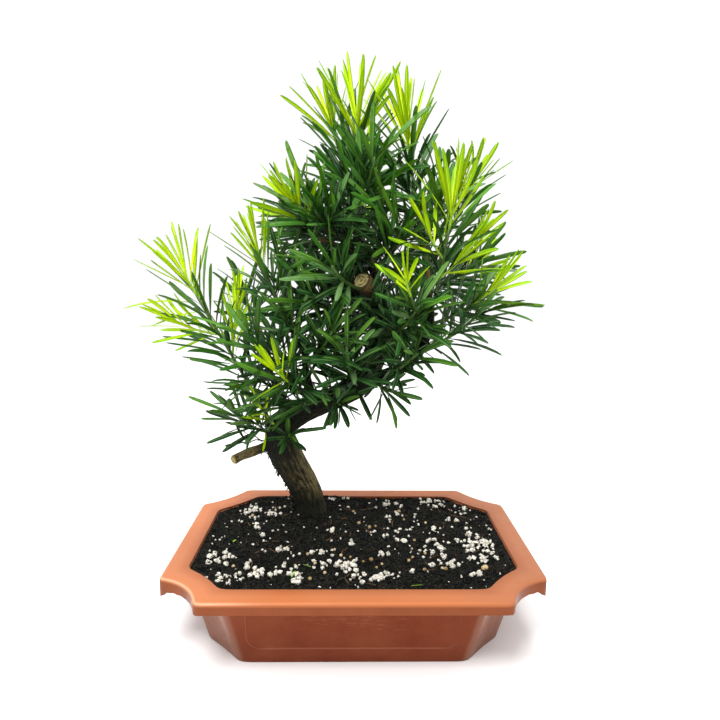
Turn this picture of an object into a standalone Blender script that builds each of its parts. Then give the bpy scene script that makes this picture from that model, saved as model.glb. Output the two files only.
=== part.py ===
"""Buddhist pine bonsai in its moulded tray pot, at real size, in metres with +Z up.

The origin is the centre of the pot's underside and the front of the pot faces -Y.
Tables of points are in millimetres and are turned to metres where they are used.
Each leafy shoot is a stem with blades placed by a seeded rule and fused into it.
"""
import math
import random

import bmesh
import bpy
from mathutils import Matrix, Vector, noise
from mathutils.bvhtree import BVHTree
from mathutils.geometry import interpolate_bezier

MM = 0.001
GAP = 0.3
WELD = 0.00002

# Pot: a tray with a flat rim, a lip turned down at its edge and corners scooped inwards
POT_LENGTH = 320.0
POT_DEPTH = 228.0
POT_HEIGHT = 70.0
RIM_WIDTH = 20.0
WALL = 2.4
LIP_DROP_FRONT = 10.0
LIP_DROP_SIDE = 13.0
EDGE_ROUND = 1.6
BODY_TOP_HALF = (141.5, 99.5)
BODY_FOOT_HALF = (127.0, 85.4)
BODY_CORNER_TOP = (33.5, 4.0)
BODY_CORNER_FOOT = (33.5, 1.0)
# Corners of the rim, each given at its edge and at its mouth: how much it cuts off, and how far it bows
FRONT_SCOOP = ((37.5, 8.0), (33.0, 2.5))
BACK_SCOOP = ((40.0, 4.7), (36.6, 2.3))
CORNER_STEPS = 5
SIDE_STEPS = 5
DRAIN_RADIUS = 5.0
DRAIN_SIDES = 10
DRAIN_PLACES = ((-70, -42), (70, -42), (-70, 42), (70, 42))

# Soil: fills the pot to just under the rim and rises in a mound round the trunk
SOIL_EDGE_HEIGHT = 67.0
SOIL_MOUND = 5.0
SOIL_MOUND_RADIUS = 48.0
SOIL_BUMP = 1.3
SOIL_BUMP_SIZE = 14.0
SOIL_RINGS = (0.1, 0.26, 0.44, 0.62, 0.8, 0.93)
SOIL_GAP = 0.4
HOLE_SIDES = 20

# Trunk: every line is a list of (x, y, z, radius)
TRUNK_FOOT = (-46.0, 57.0)
PEG_BOTTOM = 40.0
PEG_RADIUS = 17.5
TRUNK_LINE = (
    (-46, 57, 40, 17.5), (-46, 57, 58, 17.5), (-46, 57, 76, 17.0), (-48, 54, 90, 16.0),
    (-54, 48, 107, 15.4), (-62, 43, 124, 15.6), (-68, 40, 138, 16.2), (-73, 38, 154, 15.2),
    (-70, 36, 166, 13.6), (-59, 36, 176, 12.4), (-45, 36, 184, 11.6), (-28, 36, 191, 11.2),
    (-10, 37, 200, 11.6), (5, 39, 210, 12.2), (17, 42, 231, 12.0), (25, 44, 256, 11.2),
    (25, 36, 280, 10.6), (16, 21, 297, 9.4), (5, 4, 309, 9.0),
)
BRANCH_LINES = (
    ((25, 40, 276, 5.5), (24, 47, 300, 4.8), (16, 46, 320, 4.2), (6, 45, 345, 3.4),
     (1, 44, 372, 2.6), (-1, 43, 392, 2.2)),
    ((6, 40, 206, 7.5), (20, 33, 214, 6.8), (36, 25, 223, 6.0), (54, 12, 238, 5.0),
     (64, 2, 260, 4.2), (66, -7, 283, 3.6)),
    ((66, -7, 280, 3.4), (64, 6, 312, 2.9), (58, 18, 350, 2.3), (55, 23, 374, 2.0)),
    ((-68, 38, 147, 6.0), (-85, 36, 147, 5.6), (-115, 28, 137, 5.2)),
    ((24, 44, 250, 6.0), (20, 75, 275, 4.6), (8, 103, 300, 3.4), (-4, 122, 322, 2.6)),
    ((28, 46, 262, 5.5), (52, 68, 292, 4.0), (78, 80, 326, 2.9), (88, 80, 346, 2.3)),
    ((-30, 34, 187, 4.6), (-40, 16, 205, 3.6), (-45, 9, 228, 2.9), (-48, 9, 252, 2.3)),
    ((-60, 38, 172, 4.8), (-80, 58, 204, 3.4), (-94, 76, 238, 2.6), (-97, 81, 256, 2.1)),
    ((14, 46, 324, 3.4), (-8, 38, 336, 2.9), (-34, 22, 347, 2.2)),
)
TRUNK_SIDES = 10
BRANCH_SIDES = 8
BARK_RELIEF = 0.7
BARK_SIZE = 11.0
SMOOTH_ANGLE = math.radians(40)

# Blade of a leaf: width and keel thickness, and the stations where the outline turns
BLADE_ROOT_HALF = 0.55
BLADE_STATIONS = (0.0, 0.24, 0.78)
BLADE_THICK = 1.0
ROOT_THICK = 0.65
BLADE_RAISE = 1 / 3
CLEARANCE = 0.7
JOINED_SHARE = 0.3

# Seeded rule of the leaves: golden turn round the stem, and the spread of each measure
GOLDEN_TURN = math.radians(137.5)
SEED_TURN = 0.7
TURN_SPREAD = 0.2
OPENING_SPREAD = 7.0
LEAST_OPENING = 6.0
LENGTH_SPREAD = (0.82, 1.12)
WIDTH_SPREAD = (0.85, 1.12)
SAG_SPREAD = (0.3, 1.6)
SAG_ACROSS = 0.6
NEARLY_UPRIGHT = 0.05

# Growth of mature and new leaves: count per shoot is in the table of shoots
MATURE = {"open": (62, 32), "length": (52, 62), "width": 6.2, "lift": 0.20, "sag": 0.10, "step": 3}
YOUNG = {"open": (50, 10), "length": (62, 46), "width": 5.0, "lift": 0.20, "sag": 0.03, "step": 2}
STEM_MATURE = (1.7, 1.25)
STEM_YOUNG = (1.2, 0.9)
STEM_SIDES = 4
STEM_SPANS = 4
STEM_HANDLES = (0.35, 0.7)
STEM_BARE_FOOT = (3.0, 0.12)
STEM_BARE_TIP = 1.5
SEAT_STEPS = (0.05, 0.5)
SEAT_REACH = 1.05
YOUNG_SHARE = 24.0
YOUNG_SEED = 50
LINE_POINTS = 9

# Shoots: name, base, tip, bow of the stem below its chord, mature leaves, new leaves, leaf size
SHOOTS = (
    ("shoot_long_left", (-75, 34, 160), (-150, -5, 315), 0, 40, 18, 0.95),
    ("shoot_long_left_side", (-121, 10, 259), (-160, 0, 272), 3, 0, 14, 0.8),
    ("shoot_long_left_up", (-113, 14, 240), (-108, 18, 290), 0, 0, 24, 0.75),
    ("shoot_left_inner", (-47, 9, 242), (-85, -15, 335), 4, 30, 14, 0.9),
    ("shoot_left_top", (-32, 23, 347), (-54, 0, 372), 3, 18, 18, 0.95),
    ("shoot_crown_left", (2, 45, 366), (-24, 66, 456), 4, 27, 18, 1.08),
    ("shoot_crown", (-1, 43, 388), (0, 20, 452), 4, 21, 18, 1.1),
    ("shoot_crown_right", (55, 23, 372), (42, 12, 438), 0, 21, 18, 1.1),
    ("shoot_right_front", (66, -10, 284), (78, -38, 376), 6, 24, 20, 1.05),
    ("shoot_right_back", (88, 80, 344), (116, 80, 410), 6, 21, 16, 0.95),
    ("shoot_right_upper", (70, -20, 312), (102, -25, 348), 4, 0, 14, 0.85),
    ("shoot_right_outer", (65, -3, 271), (116, -30, 306), 6, 21, 14, 0.85),
    ("shoot_front_right", (65, -1, 266), (36, -72, 316), 10, 18, 8, 0.62),
    ("shoot_front_upper", (72, -25, 329), (54, -36, 358), 3, 0, 12, 0.75),
    ("shoot_front_left", (-41, 14, 206), (-66, -42, 236), 5, 15, 14, 0.8),
    ("shoot_low_tip", (-72, 34, 163), (-88, -2, 198), 3, 0, 12, 0.62),
    ("shoot_low_left", (-80, 36, 160), (-112, 14, 184), 6, 21, 0, 0.8),
    ("shoot_trunk_tuft", (-70, 30, 158), (-60, 8, 166), 3, 12, 0, 0.46),
    ("shoot_under_right", (14, 34, 212), (30, -2, 208), -3, 18, 0, 0.62),
    ("shoot_under_left", (-20, 32, 190), (-14, 4, 196), -2, 15, 0, 0.55),
    ("shoot_front_crown", (12, 16, 303), (-20, -48, 322), 10, 24, 0, 0.9),
    ("shoot_front_mid", (26, 36, 262), (48, -46, 286), 12, 27, 0, 0.88),
    ("shoot_front_low", (2, 34, 208), (-8, -44, 256), 12, 27, 0, 0.8),
    ("shoot_front_low_right", (24, 34, 220), (52, -34, 250), 6, 24, 0, 0.72),
    ("shoot_centre_left", (20, 34, 288), (-42, -14, 292), 10, 27, 0, 0.95),
    ("shoot_centre_upper", (6, 43, 340), (-36, -12, 368), 10, 27, 0, 1.0),
    ("shoot_centre_right", (15, 44, 322), (38, -18, 352), 10, 27, 0, 0.95),
    ("shoot_inner_left", (-47, 9, 236), (-20, -36, 268), 8, 27, 0, 0.82),
    ("shoot_right_low", (58, 9, 245), (106, -24, 284), 6, 27, 0, 0.82),
    ("shoot_upper_front", (1, 42, 370), (14, -20, 410), 10, 27, 0, 1.05),
    ("shoot_upper_right", (60, 16, 340), (74, 2, 386), 6, 24, 0, 0.95),
    ("shoot_left_low", (-45, 10, 226), (-92, -22, 262), 10, 27, 0, 0.9),
    ("shoot_right_side", (64, 6, 306), (114, 24, 330), 8, 27, 0, 0.92),
    ("shoot_back_crown", (1, 45, 378), (8, 122, 432), 12, 27, 14, 1.0),
    ("shoot_back_left_top", (-10, 38, 336), (-62, 104, 378), 12, 27, 14, 1.0),
    ("shoot_back_left", (-2, 118, 318), (-54, 158, 342), 10, 24, 0, 1.0),
    ("shoot_back_mid", (-4, 122, 320), (14, 160, 372), 10, 24, 14, 1.0),
    ("shoot_back_right", (8, 103, 298), (66, 148, 318), 12, 27, 0, 1.0),
    ("shoot_right_back_low", (54, 69, 294), (122, 92, 322), 12, 27, 14, 1.0),
    ("shoot_back_low", (20, 75, 273), (22, 134, 262), 12, 27, 0, 0.95),
    ("shoot_back_left_low", (-97, 81, 252), (-118, 112, 294), 8, 24, 0, 0.95),
    ("shoot_back_right_top", (78, 80, 324), (72, 134, 386), 10, 24, 0, 1.0),
)
YOUNG_SUFFIX = "_new"

# Tries for a blade that would cross another: turn about the stem, opening, share of the length
DETOURS = (
    (0, 0, 1.0), (13, 0, 1.0), (-13, 0, 1.0), (26, -5, 1.0), (-26, -5, 1.0), (0, -12, 1.0), (0, 12, 1.0),
    (40, 6, 0.95), (-40, 6, 0.95), (56, -6, 0.9), (-56, -6, 0.9), (18, 14, 0.85), (-18, 14, 0.85),
    (75, 0, 0.8), (-75, 0, 0.8), (0, 0, 0.65), (30, 8, 0.6), (-30, 8, 0.6),
)

COLOURS = {
    "pot": ((0.62, 0.21, 0.10), 0.38),
    "soil": ((0.02, 0.018, 0.015), 0.95),
    "bark": ((0.06, 0.045, 0.03), 0.9),
    "leaf_mature": ((0.02, 0.13, 0.02), 0.45),
    "leaf_new": ((0.33, 0.62, 0.01), 0.5),
}


def clear_scene():
    """Start from an empty scene."""
    for leftover in list(bpy.data.objects):
        bpy.data.objects.remove(leftover, do_unlink=True)


def make_material(name):
    """A plain Principled finish with the colour and roughness of one material."""
    colour, roughness = COLOURS[name]
    material = bpy.data.materials.new(name)
    material.use_nodes = True
    shader = material.node_tree.nodes["Principled BSDF"]
    shader.inputs["Base Color"].default_value = (*colour, 1.0)
    shader.inputs["Roughness"].default_value = roughness
    shader.inputs["Metallic"].default_value = 0.0
    return material


def add_object(name, mesh, collection, material=None):
    """Link a mesh as a named object in a collection, with one material."""
    obj = bpy.data.objects.new(name, mesh)
    collection.objects.link(obj)
    if material is not None:
        mesh.materials.clear()
        mesh.materials.append(material)
    return obj


def mesh_from(name, bm):
    """Turn a bmesh into a mesh and free it."""
    mesh = bpy.data.meshes.new(name)
    bm.to_mesh(mesh)
    bm.free()
    return mesh


def ring(half_x, half_y, front, back, side_steps=1):
    """Points of one outline: four sides joined by corner arcs that bow inwards.

    The front and back corners are each given by what they cut off and how far they bow.
    """
    points = []
    for sign_x, sign_y in ((1, -1), (1, 1), (-1, 1), (-1, -1)):
        leg, hollow = front if sign_y < 0 else back
        on_side = Vector((sign_x * (half_x - leg), sign_y * half_y))
        on_end = Vector((sign_x * half_x, sign_y * (half_y - leg)))
        start, end = (on_side, on_end) if sign_x * sign_y < 0 else (on_end, on_side)
        inwards = Vector((-sign_x, -sign_y)).normalized() * hollow
        for step in range(CORNER_STEPS + 1):
            share = step / CORNER_STEPS
            points.append(start.lerp(end, share) + inwards * 4 * share * (1 - share))
    if side_steps == 1:
        return points
    filled = []
    for index, point in enumerate(points):
        filled.append(point)
        if index % (CORNER_STEPS + 1) == CORNER_STEPS:
            following = points[(index + 1) % len(points)]
            filled += [point.lerp(following, step / side_steps) for step in range(1, side_steps)]
    return filled


def loft(name, sections):
    """Closed solid through rings of equal length, with its first and last ring capped.

    The faces are split alike on every piece, so that one lofted wall lies along another.
    """
    bm = bmesh.new()
    loops = [[bm.verts.new(Vector(point) * MM) for point in section] for section in sections]
    for lower, upper in zip(loops, loops[1:]):
        for index in range(len(lower)):
            following = (index + 1) % len(lower)
            bm.faces.new((lower[index], lower[following], upper[following]))
            bm.faces.new((lower[index], upper[following], upper[index]))
    bm.faces.new(list(reversed(loops[0])))
    bm.faces.new(loops[-1])
    bmesh.ops.recalc_face_normals(bm, faces=bm.faces)
    return mesh_from(name, bm)


def rim_ring(inset, side_steps=1):
    """Outline of the rim at an inset from its edge, between the rim's edge and its mouth."""
    front, back = (Vector(edge).lerp(Vector(mouth), inset / RIM_WIDTH)
                   for edge, mouth in (FRONT_SCOOP, BACK_SCOOP))
    return ring(POT_LENGTH / 2 - inset, POT_DEPTH / 2 - inset, front, back, side_steps)


def inner_ring(height, inset=0.0, side_steps=1):
    """Outline inside the pot's wall at a height, between the floor's outline and the rim's."""
    half_x, half_y = (half - WALL - inset for half in BODY_FOOT_HALF)
    floor = ring(half_x, half_y, BODY_CORNER_FOOT, BODY_CORNER_FOOT, side_steps)
    mouth = rim_ring(RIM_WIDTH + inset, side_steps)
    share = (height - WALL) / (POT_HEIGHT - WALL)
    return [low.lerp(high, share) for low, high in zip(floor, mouth)]


def at_height(points, height):
    """Points of an outline raised to a height."""
    return [(*point, height) for point in points]


def lip_bottom(point):
    """Height of the lip's lower edge, which hangs lower at the two ends of the pot."""
    reach = FRONT_SCOOP[0][0]
    share = min(1.0, max(0.0, (abs(point.x) - POT_LENGTH / 2 + reach) / reach))
    return POT_HEIGHT - LIP_DROP_FRONT - (LIP_DROP_SIDE - LIP_DROP_FRONT) * share ** 2


def build_pot(parts, cutters, material):
    """One moulding: tapered tub, flat rim, turned-down lip and drain holes in the floor."""
    under_rim = POT_HEIGHT - WALL
    sections = [
        at_height(ring(*BODY_FOOT_HALF, BODY_CORNER_FOOT, BODY_CORNER_FOOT), 0.0),
        at_height(ring(*BODY_TOP_HALF, BODY_CORNER_TOP, BODY_CORNER_TOP), under_rim),
        at_height(rim_ring(WALL), under_rim),
        [(*point, lip_bottom(point)) for point in rim_ring(WALL)],
        [(*point, lip_bottom(point)) for point in rim_ring(0.0)],
        at_height(rim_ring(0.0), POT_HEIGHT - EDGE_ROUND),
        at_height(rim_ring(EDGE_ROUND), POT_HEIGHT),
        at_height(inner_ring(POT_HEIGHT), POT_HEIGHT),
        at_height(inner_ring(SOIL_EDGE_HEIGHT), SOIL_EDGE_HEIGHT),
        at_height(inner_ring(WALL), WALL),
    ]
    pot = add_object("pot", loft("pot", sections), parts, material)
    for index, (x, y) in enumerate(DRAIN_PLACES):
        bm = bmesh.new()
        bmesh.ops.create_cone(
            bm, cap_ends=True, segments=DRAIN_SIDES, radius1=DRAIN_RADIUS * MM,
            radius2=DRAIN_RADIUS * MM, depth=4 * WALL * MM, matrix=Matrix.Translation(Vector((x, y, 0)) * MM))
        cut(pot, add_cutter(f"drain_{index}", bm, cutters))


def add_cutter(name, bm, cutters):
    """A hidden wire-drawn object that cuts a hole in another."""
    cutter = add_object(name, mesh_from(name, bm), cutters)
    cutter.display_type = "WIRE"
    cutter.hide_render = True
    return cutter


def cut(obj, cutter):
    """Take the cutter's shape out of an object."""
    modifier = obj.modifiers.new(cutter.name, "BOOLEAN")
    modifier.operation = "DIFFERENCE"
    modifier.solver = "EXACT"
    modifier.object = cutter


def soil_height(x, y):
    """Height of the soil: nearly level, with crumbs and a mound round the trunk."""
    away = math.hypot(x - TRUNK_FOOT[0], y - TRUNK_FOOT[1]) / SOIL_MOUND_RADIUS
    bump = noise.noise(Vector((x, y, 0)) / SOIL_BUMP_SIZE) * SOIL_BUMP
    return SOIL_EDGE_HEIGHT + SOIL_MOUND * math.exp(-away * away) + bump


def build_soil(parts, cutters, material):
    """Soil that fills the pot a gap clear of its wall, with a plain hole for the trunk."""
    edge = inner_ring(SOIL_EDGE_HEIGHT, SOIL_GAP, SIDE_STEPS)
    sections = []
    for share in SOIL_RINGS:
        sections.append([(*point, soil_height(*point)) for point in (corner * share for corner in edge)])
    sections.append(at_height(edge, SOIL_EDGE_HEIGHT))
    sections.append(at_height(inner_ring(WALL, SOIL_GAP, SIDE_STEPS), WALL + GAP))
    soil = add_object("soil", loft("soil", sections), parts, material)
    bm = bmesh.new()
    radius = (PEG_RADIUS + GAP) / math.cos(math.pi / HOLE_SIDES)
    depth = 2 * (POT_HEIGHT + SOIL_MOUND - PEG_BOTTOM)
    middle = PEG_BOTTOM - GAP + depth / 2
    bmesh.ops.create_cone(
        bm, cap_ends=True, segments=HOLE_SIDES, radius1=radius * MM, radius2=radius * MM,
        depth=depth * MM, matrix=Matrix.Translation(Vector((*TRUNK_FOOT, middle)) * MM))
    cut(soil, add_cutter("trunk_hole", bm, cutters))


def tube(name, points, radii, sides, collection):
    """A closed tube through points, with a radius for each, from a bevelled poly curve."""
    curve = bpy.data.curves.new(name + "_curve", "CURVE")
    curve.dimensions = "3D"
    curve.bevel_depth = 1.0
    curve.bevel_resolution = (sides - 4) // 2
    curve.use_fill_caps = True
    spline = curve.splines.new("POLY")
    spline.points.add(len(points) - 1)
    for knot, point, radius in zip(spline.points, points, radii):
        knot.co = (*(Vector(point) * MM), 1.0)
        knot.radius = radius * MM
    guide = bpy.data.objects.new(name + "_curve", curve)
    collection.objects.link(guide)
    depsgraph = bpy.context.evaluated_depsgraph_get()
    mesh = bpy.data.meshes.new_from_object(guide.evaluated_get(depsgraph))
    bm = bmesh.new()
    bm.from_mesh(mesh)
    bmesh.ops.remove_doubles(bm, verts=bm.verts, dist=WELD)
    bmesh.ops.recalc_face_normals(bm, faces=bm.faces)
    bm.to_mesh(mesh)
    bm.free()
    obj = add_object(name, mesh, collection)
    obj.matrix_world = guide.matrix_world
    bpy.data.objects.remove(guide)
    bpy.data.curves.remove(curve)
    return obj


def join_into(base, members):
    """Fuse members into base by one Boolean union on their collection, applied."""
    if not members:
        return
    group = bpy.data.collections.new(base.name + "_members")
    bpy.context.scene.collection.children.link(group)
    for member in members:
        for home in list(member.users_collection):
            home.objects.unlink(member)
        group.objects.link(member)
    modifier = base.modifiers.new("join", "BOOLEAN")
    modifier.operation = "UNION"
    modifier.operand_type = "COLLECTION"
    modifier.collection = group
    modifier.solver = "EXACT"
    depsgraph = bpy.context.evaluated_depsgraph_get()
    joined = bpy.data.meshes.new_from_object(base.evaluated_get(depsgraph))
    base.modifiers.clear()
    base.data = joined
    for member in members:
        bpy.data.objects.remove(member)
    bpy.data.collections.remove(group)


def finish(obj, material):
    """One material over the whole piece, round parts shaded smooth."""
    obj.data.materials.clear()
    obj.data.materials.append(material)
    for polygon in obj.data.polygons:
        polygon.material_index = 0
    obj.data.shade_smooth()
    obj.data.set_sharp_from_angle(angle=SMOOTH_ANGLE)


def roughen(obj):
    """Push the bark in and out above the soil, by smooth noise."""
    for vertex in obj.data.vertices:
        if vertex.co.z > (POT_HEIGHT + SOIL_MOUND) * MM:
            push = noise.noise(vertex.co / (BARK_SIZE * MM)) * BARK_RELIEF * MM
            vertex.co += vertex.normal * push


def build_trunk(parts, material):
    """Trunk, sawn stubs and woody branches, grown as one piece, with a peg in the soil."""
    points = [line[:3] for line in TRUNK_LINE]
    trunk = tube("trunk", points, [line[3] for line in TRUNK_LINE], TRUNK_SIDES, parts)
    roughen(trunk)
    branches = []
    for index, line in enumerate(BRANCH_LINES):
        radii = [point[3] for point in line]
        branch = tube(f"branch_{index}", [point[:3] for point in line], radii, BRANCH_SIDES, parts)
        branches.append(branch)
    join_into(trunk, branches)
    finish(trunk, material)
    return trunk


def shoot_line(base, tip, bow, steps):
    """Points of a shoot's stem, leaving outwards and turning up towards its tip."""
    base, tip = Vector(base), Vector(tip)
    lower = base.lerp(tip, STEM_HANDLES[0]) - Vector((0, 0, bow))
    upper = base.lerp(tip, STEM_HANDLES[1]) - Vector((0, 0, bow))
    return interpolate_bezier(base, lower, upper, tip, steps)


def along(points, distance):
    """Point and direction at a distance along a line."""
    for start, end in zip(points, points[1:]):
        span = (end - start).length
        if distance <= span or end is points[-1]:
            return start + (end - start) * (distance / span), (end - start).normalized()
        distance -= span


def line_length(points):
    """Length of a line of points."""
    return sum((end - start).length for start, end in zip(points, points[1:]))


def signed_distance(tree, point):
    """Distance of a point from a closed mesh in millimetres, negative inside it.

    Outside a slim stem the nearest point can lie on an edge, where the face's normal says little,
    so a point counts as inside only where it is well behind the face.
    """
    nearest, normal, _, distance = tree.find_nearest(point * MM)
    inside = (point * MM - nearest).dot(normal) < -distance / 2
    return -distance / MM if inside else distance / MM


def start_clearance(stem, start, radius, trees):
    """Least distance of a stem's first end from what carries it, negative where it is inside."""
    corners = [vertex.co / MM for vertex in stem.data.vertices
               if (vertex.co / MM - start).length < radius * SEAT_REACH]
    samples = [start] + corners
    samples += [first.lerp(second, 0.5) for first in corners for second in corners if first is not second]
    return min(signed_distance(tree, sample) for tree in trees for sample in samples)


def seat_stem(name, line, last, radii, trees, parts):
    """Stem whose first end is moved along its line until it lies a gap clear of its carrier."""
    first = 0.0
    while True:
        stem = stem_tube(name, line, first, last, radii, parts)
        clearance = start_clearance(stem, along(line, first)[0], radii[0], trees)
        if clearance >= GAP or first > line_length(line) / 2:
            return stem, first
        bpy.data.objects.remove(stem)
        first += max(SEAT_STEPS[0], min(SEAT_STEPS[1], (GAP - clearance) / 2))


def leaf_pose(line, start, end, growth, size, index, count, seed):
    """Root, direction, upper side, length, width and bend of one leaf on a stem, by a seeded rule."""
    draw = random.Random(seed * 1000 + index)
    share = (index + 0.5) / count
    root, axis = along(line, start + (end - start) * share)
    angle = index * GOLDEN_TURN + seed * SEED_TURN + draw.uniform(-TURN_SPREAD, TURN_SPREAD)
    opening = growth["open"][0] + (growth["open"][1] - growth["open"][0]) * share
    opening += draw.uniform(-OPENING_SPREAD, OPENING_SPREAD)
    length = growth["length"][0] + (growth["length"][1] - growth["length"][0]) * share
    length *= size * draw.uniform(*LENGTH_SPREAD)
    width = growth["width"] * draw.uniform(*WIDTH_SPREAD)
    sag = growth["sag"] * draw.uniform(*SAG_SPREAD)
    return root, axis, angle, opening, length, width, sag


def leaf_shape(pose, growth, detour=(0, 0, 1.0)):
    """Root, direction, upper side, length, width and bend of a leaf after a detour."""
    root, axis, angle, opening, length, width, sag = pose
    angle += math.radians(detour[0])
    tilt = math.radians(max(LEAST_OPENING, opening + detour[1]))
    side = axis.cross(Vector((0, 0, 1)))
    side = side.normalized() if side.length > NEARLY_UPRIGHT else Vector((1, 0, 0))
    other = axis.cross(side)
    outwards = side * math.cos(angle) + other * math.sin(angle)
    forward = axis * math.cos(tilt) + outwards * math.sin(tilt) + Vector((0, 0, growth["lift"]))
    forward.normalize()
    upper = axis - forward * axis.dot(forward)
    upper = upper.normalized() if upper.length > NEARLY_UPRIGHT else -outwards
    bend = -upper * sag * SAG_ACROSS - Vector((0, 0, sag))
    return root, forward, upper, length * detour[2], width, bend


def blade(shape, grow=0.0, first=0.0):
    """Closed three-sided blade with a keel below, from a triangular prism drawn along its bend."""
    root, forward, upper, length, width, bend = shape
    across = forward.cross(upper)
    stations = [first] + [station for station in BLADE_STATIONS if station > first]
    bm = bmesh.new()
    bmesh.ops.create_cone(bm, cap_ends=True, segments=3, radius1=1, radius2=1, depth=1)
    span = len(stations)
    for cut_at in range(1, span):
        whole = list(bm.verts) + list(bm.edges) + list(bm.faces)
        height = cut_at / span - 0.5
        bmesh.ops.bisect_plane(bm, geom=whole, plane_co=(0, 0, height), plane_no=(0, 0, 1))
    profile = {0: (-1.0, 0.0), 1: (1.0, 0.0), 2: (0.0, -1.0)}
    for vertex in bm.verts:
        station = round((vertex.co.z + 0.5) * span)
        corner = round((math.atan2(vertex.co.y, vertex.co.x) + math.tau) / (math.tau / 3)) % 3
        x, y = profile[corner]
        if station == span:
            along_blade, half, thick = 1.0, 0.0, 0.0
        else:
            along_blade = stations[station]
            half = BLADE_ROOT_HALF if along_blade == 0 else width / 2
            thick = BLADE_THICK * (ROOT_THICK if along_blade == 0 else 1.0)
        half += grow / 2
        thick += grow
        centre = root + forward * length * along_blade + bend * length * along_blade * along_blade
        height = y * thick + grow / 2 + BLADE_THICK * BLADE_RAISE
        vertex.co = (centre + across * x * half + upper * height) * MM
    if grow == 0.0:
        tip = [vertex for vertex in bm.verts if vertex.co == max(bm.verts, key=far_from(root)).co]
        bmesh.ops.pointmerge(bm, verts=tip, merge_co=tip[0].co)
        bmesh.ops.remove_doubles(bm, verts=bm.verts, dist=WELD / 4)
    bmesh.ops.recalc_face_normals(bm, faces=bm.faces)
    return bm


def far_from(root):
    """Measure of how far a vertex is from a root."""
    return lambda vertex: (vertex.co - root * MM).length


class Claim:
    """Space taken by one blade or stem, for tests against others."""

    def __init__(self, owner, tree, points):
        self.owner = owner
        self.tree = tree
        self.low = [min(point[axis] for point in points) for axis in range(3)]
        self.high = [max(point[axis] for point in points) for axis in range(3)]

    def near(self, other):
        """Whether the boxes of two claims meet."""
        return all(self.low[axis] <= other.high[axis] and other.low[axis] <= self.high[axis]
                   for axis in range(3))


def claim_of(owner, bm):
    """Claim of a bmesh, which is freed."""
    claim = Claim(owner, BVHTree.FromBMesh(bm), [vertex.co.copy() for vertex in bm.verts])
    bm.free()
    return claim


def claim_object(owner, obj):
    """Claim of a whole object."""
    bm = bmesh.new()
    bm.from_mesh(obj.data)
    return claim_of(owner, bm)


def crosses(claim, others):
    """Whether a claim's surface meets any other."""
    return any(claim.near(other) and claim.tree.overlap(other.tree) for other in others)


class Sprig:
    """One node of foliage: a stem with leaves of one age."""

    def __init__(self, name, seed, growth, size, line, first, last, count, stem):
        self.name = name
        self.seed = seed
        self.growth = growth
        self.size = size
        self.line = line
        self.first = first
        self.last = last
        self.count = count
        self.object = stem
        self.blades = []
        self.outer = []


def plan_sprigs(parts, trunk):
    """Place every stem on what carries it and return the sprigs with their stem objects."""
    sprigs = []
    trees = [claim_object("trunk", trunk).tree]
    for seed, (name, base, tip, bow, mature, young, size) in enumerate(SHOOTS, start=1):
        line = shoot_line(base, tip, bow, LINE_POINTS)
        total = line_length(line)
        split = total - YOUNG_SHARE if mature and young else total
        if mature:
            stem, first = seat_stem(name, line, split, STEM_MATURE, trees, parts)
            sprigs.append(Sprig(name, seed, MATURE, size, line, first, split, mature, stem))
        if young:
            name += YOUNG_SUFFIX
            if mature:
                first = split + GAP
                stem = stem_tube(name, line, first, total, STEM_YOUNG, parts)
            else:
                stem, first = seat_stem(name, line, total, STEM_YOUNG, trees, parts)
            sprigs.append(Sprig(name, seed + YOUNG_SEED, YOUNG, size, line, first, total, young, stem))
        trees += [claim_object(sprig.name, sprig.object).tree for sprig in sprigs[-2:]]
    return sprigs


def stem_tube(name, line, first, last, radii, parts):
    """Slim tapered tube along part of a shoot's line."""
    shares = [step / STEM_SPANS for step in range(STEM_SPANS + 1)]
    points = [along(line, first + (last - first) * share)[0] for share in shares]
    widths = [radii[0] + (radii[1] - radii[0]) * share for share in shares]
    return tube(name, points, widths, STEM_SIDES, parts)


def place_blades(sprigs, trunk):
    """Give each sprig its blades in turn, turned aside or shortened where one would cross another."""
    stems = [claim_object(sprig.name, sprig.object) for sprig in sprigs]
    wood = claim_object("trunk", trunk)
    taken = []
    rounds = max(sprig.count // sprig.growth["step"] for sprig in sprigs)
    for turn in range(rounds):
        for sprig in sprigs:
            index = turn * sprig.growth["step"]
            if index >= sprig.count:
                continue
            bare = min(STEM_BARE_FOOT[0], (sprig.last - sprig.first) * STEM_BARE_FOOT[1])
            start, end = sprig.first + bare, sprig.last - STEM_BARE_TIP
            pose = leaf_pose(sprig.line, start, end, sprig.growth, sprig.size, index, sprig.count, sprig.seed)
            blocked = [wood] + [stem for stem in stems if stem.owner != sprig.name]
            blocked += [claim for claim in taken if claim.owner != sprig.name]
            for detour in DETOURS:
                shape = leaf_shape(pose, sprig.growth, detour)
                if crosses(claim_of(sprig.name, blade(shape, CLEARANCE)), blocked):
                    continue
                if crosses(claim_of(sprig.name, blade(shape, CLEARANCE, JOINED_SHARE)), sprig.outer):
                    continue
                sprig.blades.append(shape)
                sprig.outer.append(claim_of(sprig.name, blade(shape, 0.0, JOINED_SHARE)))
                taken.append(claim_of(sprig.name, blade(shape)))
                break


def build_foliage(parts, trunk, materials):
    """Every leafy shoot: its stem with its blades fused in."""
    sprigs = plan_sprigs(parts, trunk)
    place_blades(sprigs, trunk)
    for sprig in sprigs:
        members = []
        for index, shape in enumerate(sprig.blades):
            name = f"{sprig.name}_blade_{index}"
            members.append(add_object(name, mesh_from(name, blade(shape)), parts))
        join_into(sprig.object, members)
        finish(sprig.object, materials["leaf_new" if sprig.growth is YOUNG else "leaf_mature"])
    return sprigs


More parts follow.
